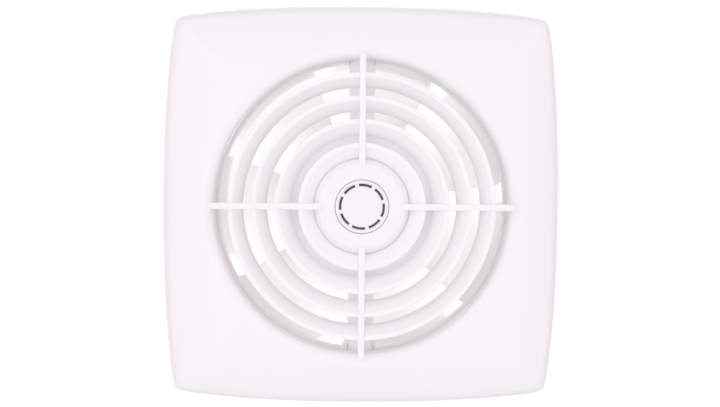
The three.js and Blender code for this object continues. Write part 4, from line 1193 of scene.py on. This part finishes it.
def cord_clamp():
    """Saddle: flat ears joined by a half-round arch, with a hole for a screw in each ear."""
    inner, outer = np.linspace(math.pi, 0.0, 25), np.linspace(math.pi - 0.43, 0.43, 25)
    below = np.stack([3.2 * np.cos(inner), CLAMP_SEAT - 3.2 * np.sin(inner)], axis=-1)
    above = np.stack([4.75 * np.cos(outer), CLAMP_SEAT - 4.75 * np.sin(outer)], axis=-1)
    below = np.concatenate([[(-9.0, CLAMP_SEAT)], below, [(9.0, CLAMP_SEAT)]])
    above = np.concatenate([[(-9.0, CLAMP_FRONT)], above, [(9.0, CLAMP_FRONT)]])
    points = across_and_along(np.concatenate([below, above[::-1]]), (-2.7, 2.7))
    saddle = placed(closed_strip("cord_clamp_saddle", points), CLAMP_AT, -CLAMP_TURN)
    holes = [rod("ear_hole_tool", 1.5, CLAMP_FRONT - 1, CLAMP_SEAT + 1, place, 32) for place in clamp_places]
    return bevelled(carved(saddle, holes), 0.3)


finish_piece(terminal_block(), terminal_cream, "housing", "terminal_plastic", "terminal_block")
finish_piece(cord_clamp(), body_white, "housing", "body_plastic", "cord_clamp")


def cable_grommet():
    """Ring with a flange on the plate and a neck through the hole."""
    corners = [(3.2, -3.9), (6.0, -3.9), (6.0, PLATE_FRONT), (4.35, PLATE_FRONT), (4.35, -0.2), (3.2, -0.2)]
    ring = turned("cable_grommet_ring", rounded(corners, [0.4, 0.7, 0.1, 0.1, 0.3, 0.4], 6), 72)
    return placed(ring, CABLE_ENTRY)


finish_piece(cable_grommet(), grey_rubber, "housing", "grey_rubber", "cable_grommet")

# %% [markdown]
# ## Motor and small metal parts
# The shaded-pole motor sits closed in its cup. Its solids already have the right shape, so they keep
# their meshes and only change finish: the frame's objects are never moved or reshaped.

# %% Finishes for the frame's own solids
KEPT_FINISHES = {
    "stator_core": laminated_steel,
    "rotor_core": laminated_steel,
    "rotor_end_ring_front": cast_aluminium,
    "rotor_end_ring_rear": cast_aluminium,
    "front_bearing_bridge": zinc_alloy,
    "rear_bearing_bridge": zinc_alloy,
    "front_bush": bronze,
    "rear_bush": bronze,
    "front_thrust_washer": fibre_brown,
    "rear_thrust_washer": fibre_brown,
    "motor_shaft": ground_steel,
    "motor_screw_1": plated_steel,
    "motor_screw_2": plated_steel,
    "terminal_live": brass,
    "terminal_neutral": brass,
    "terminal_screw_live": plated_steel,
    "terminal_screw_neutral": plated_steel,
}
KEPT_FINISHES.update({f"coil_bobbin_{number}": bobbin_nylon for number in range(1, 5)})
KEPT_FINISHES.update({f"field_coil_{number}": copper_winding for number in range(1, 5)})
for node, material in KEPT_FINISHES.items():
    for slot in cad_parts[node].material_slots:
        slot.material = material
print("finished solids:", len(KEPT_FINISHES))

# %% [markdown]
# ## Floor
# The fan hangs on a wall, so the pale floor lies well below it.


# %% Floor
FLOOR_DEPTH, FLOOR_RADIUS = -620.0, 1500.0


def pale_floor():
    """Round sheet of rings and spokes; its rim fades out, so no hard edge crosses the white ground."""
    radius = np.linspace(0.0, FLOOR_RADIUS, 5)[:, None]
    angle = circle(64)[None, :]
    x, y = radius * np.cos(angle), radius * np.sin(angle)
    points = np.stack([x, y, np.full_like(x, FLOOR_DEPTH)], axis=-1)
    floor = surface("floor", points, recalculate=False)
    finish = new_finish("floor_white")
    tone = finish.noise(6.0, 3.0)
    across, deep, _ = finish.axes()
    reach = (across * across + deep * deep) ** 0.5
    solid = reach.step(FLOOR_RADIUS * MM, FLOOR_RADIUS * MM * 0.3)
    colour = finish.blend(tone, (0.84, 0.84, 0.85), (0.88, 0.88, 0.88))
    skin = finish.bump(tone, 0.0002)
    floor.data.materials.append(finish.shade(colour, 0.6 + tone * 0.1, 0.0, skin, {"Alpha": solid}))
    return floor


pale_floor()
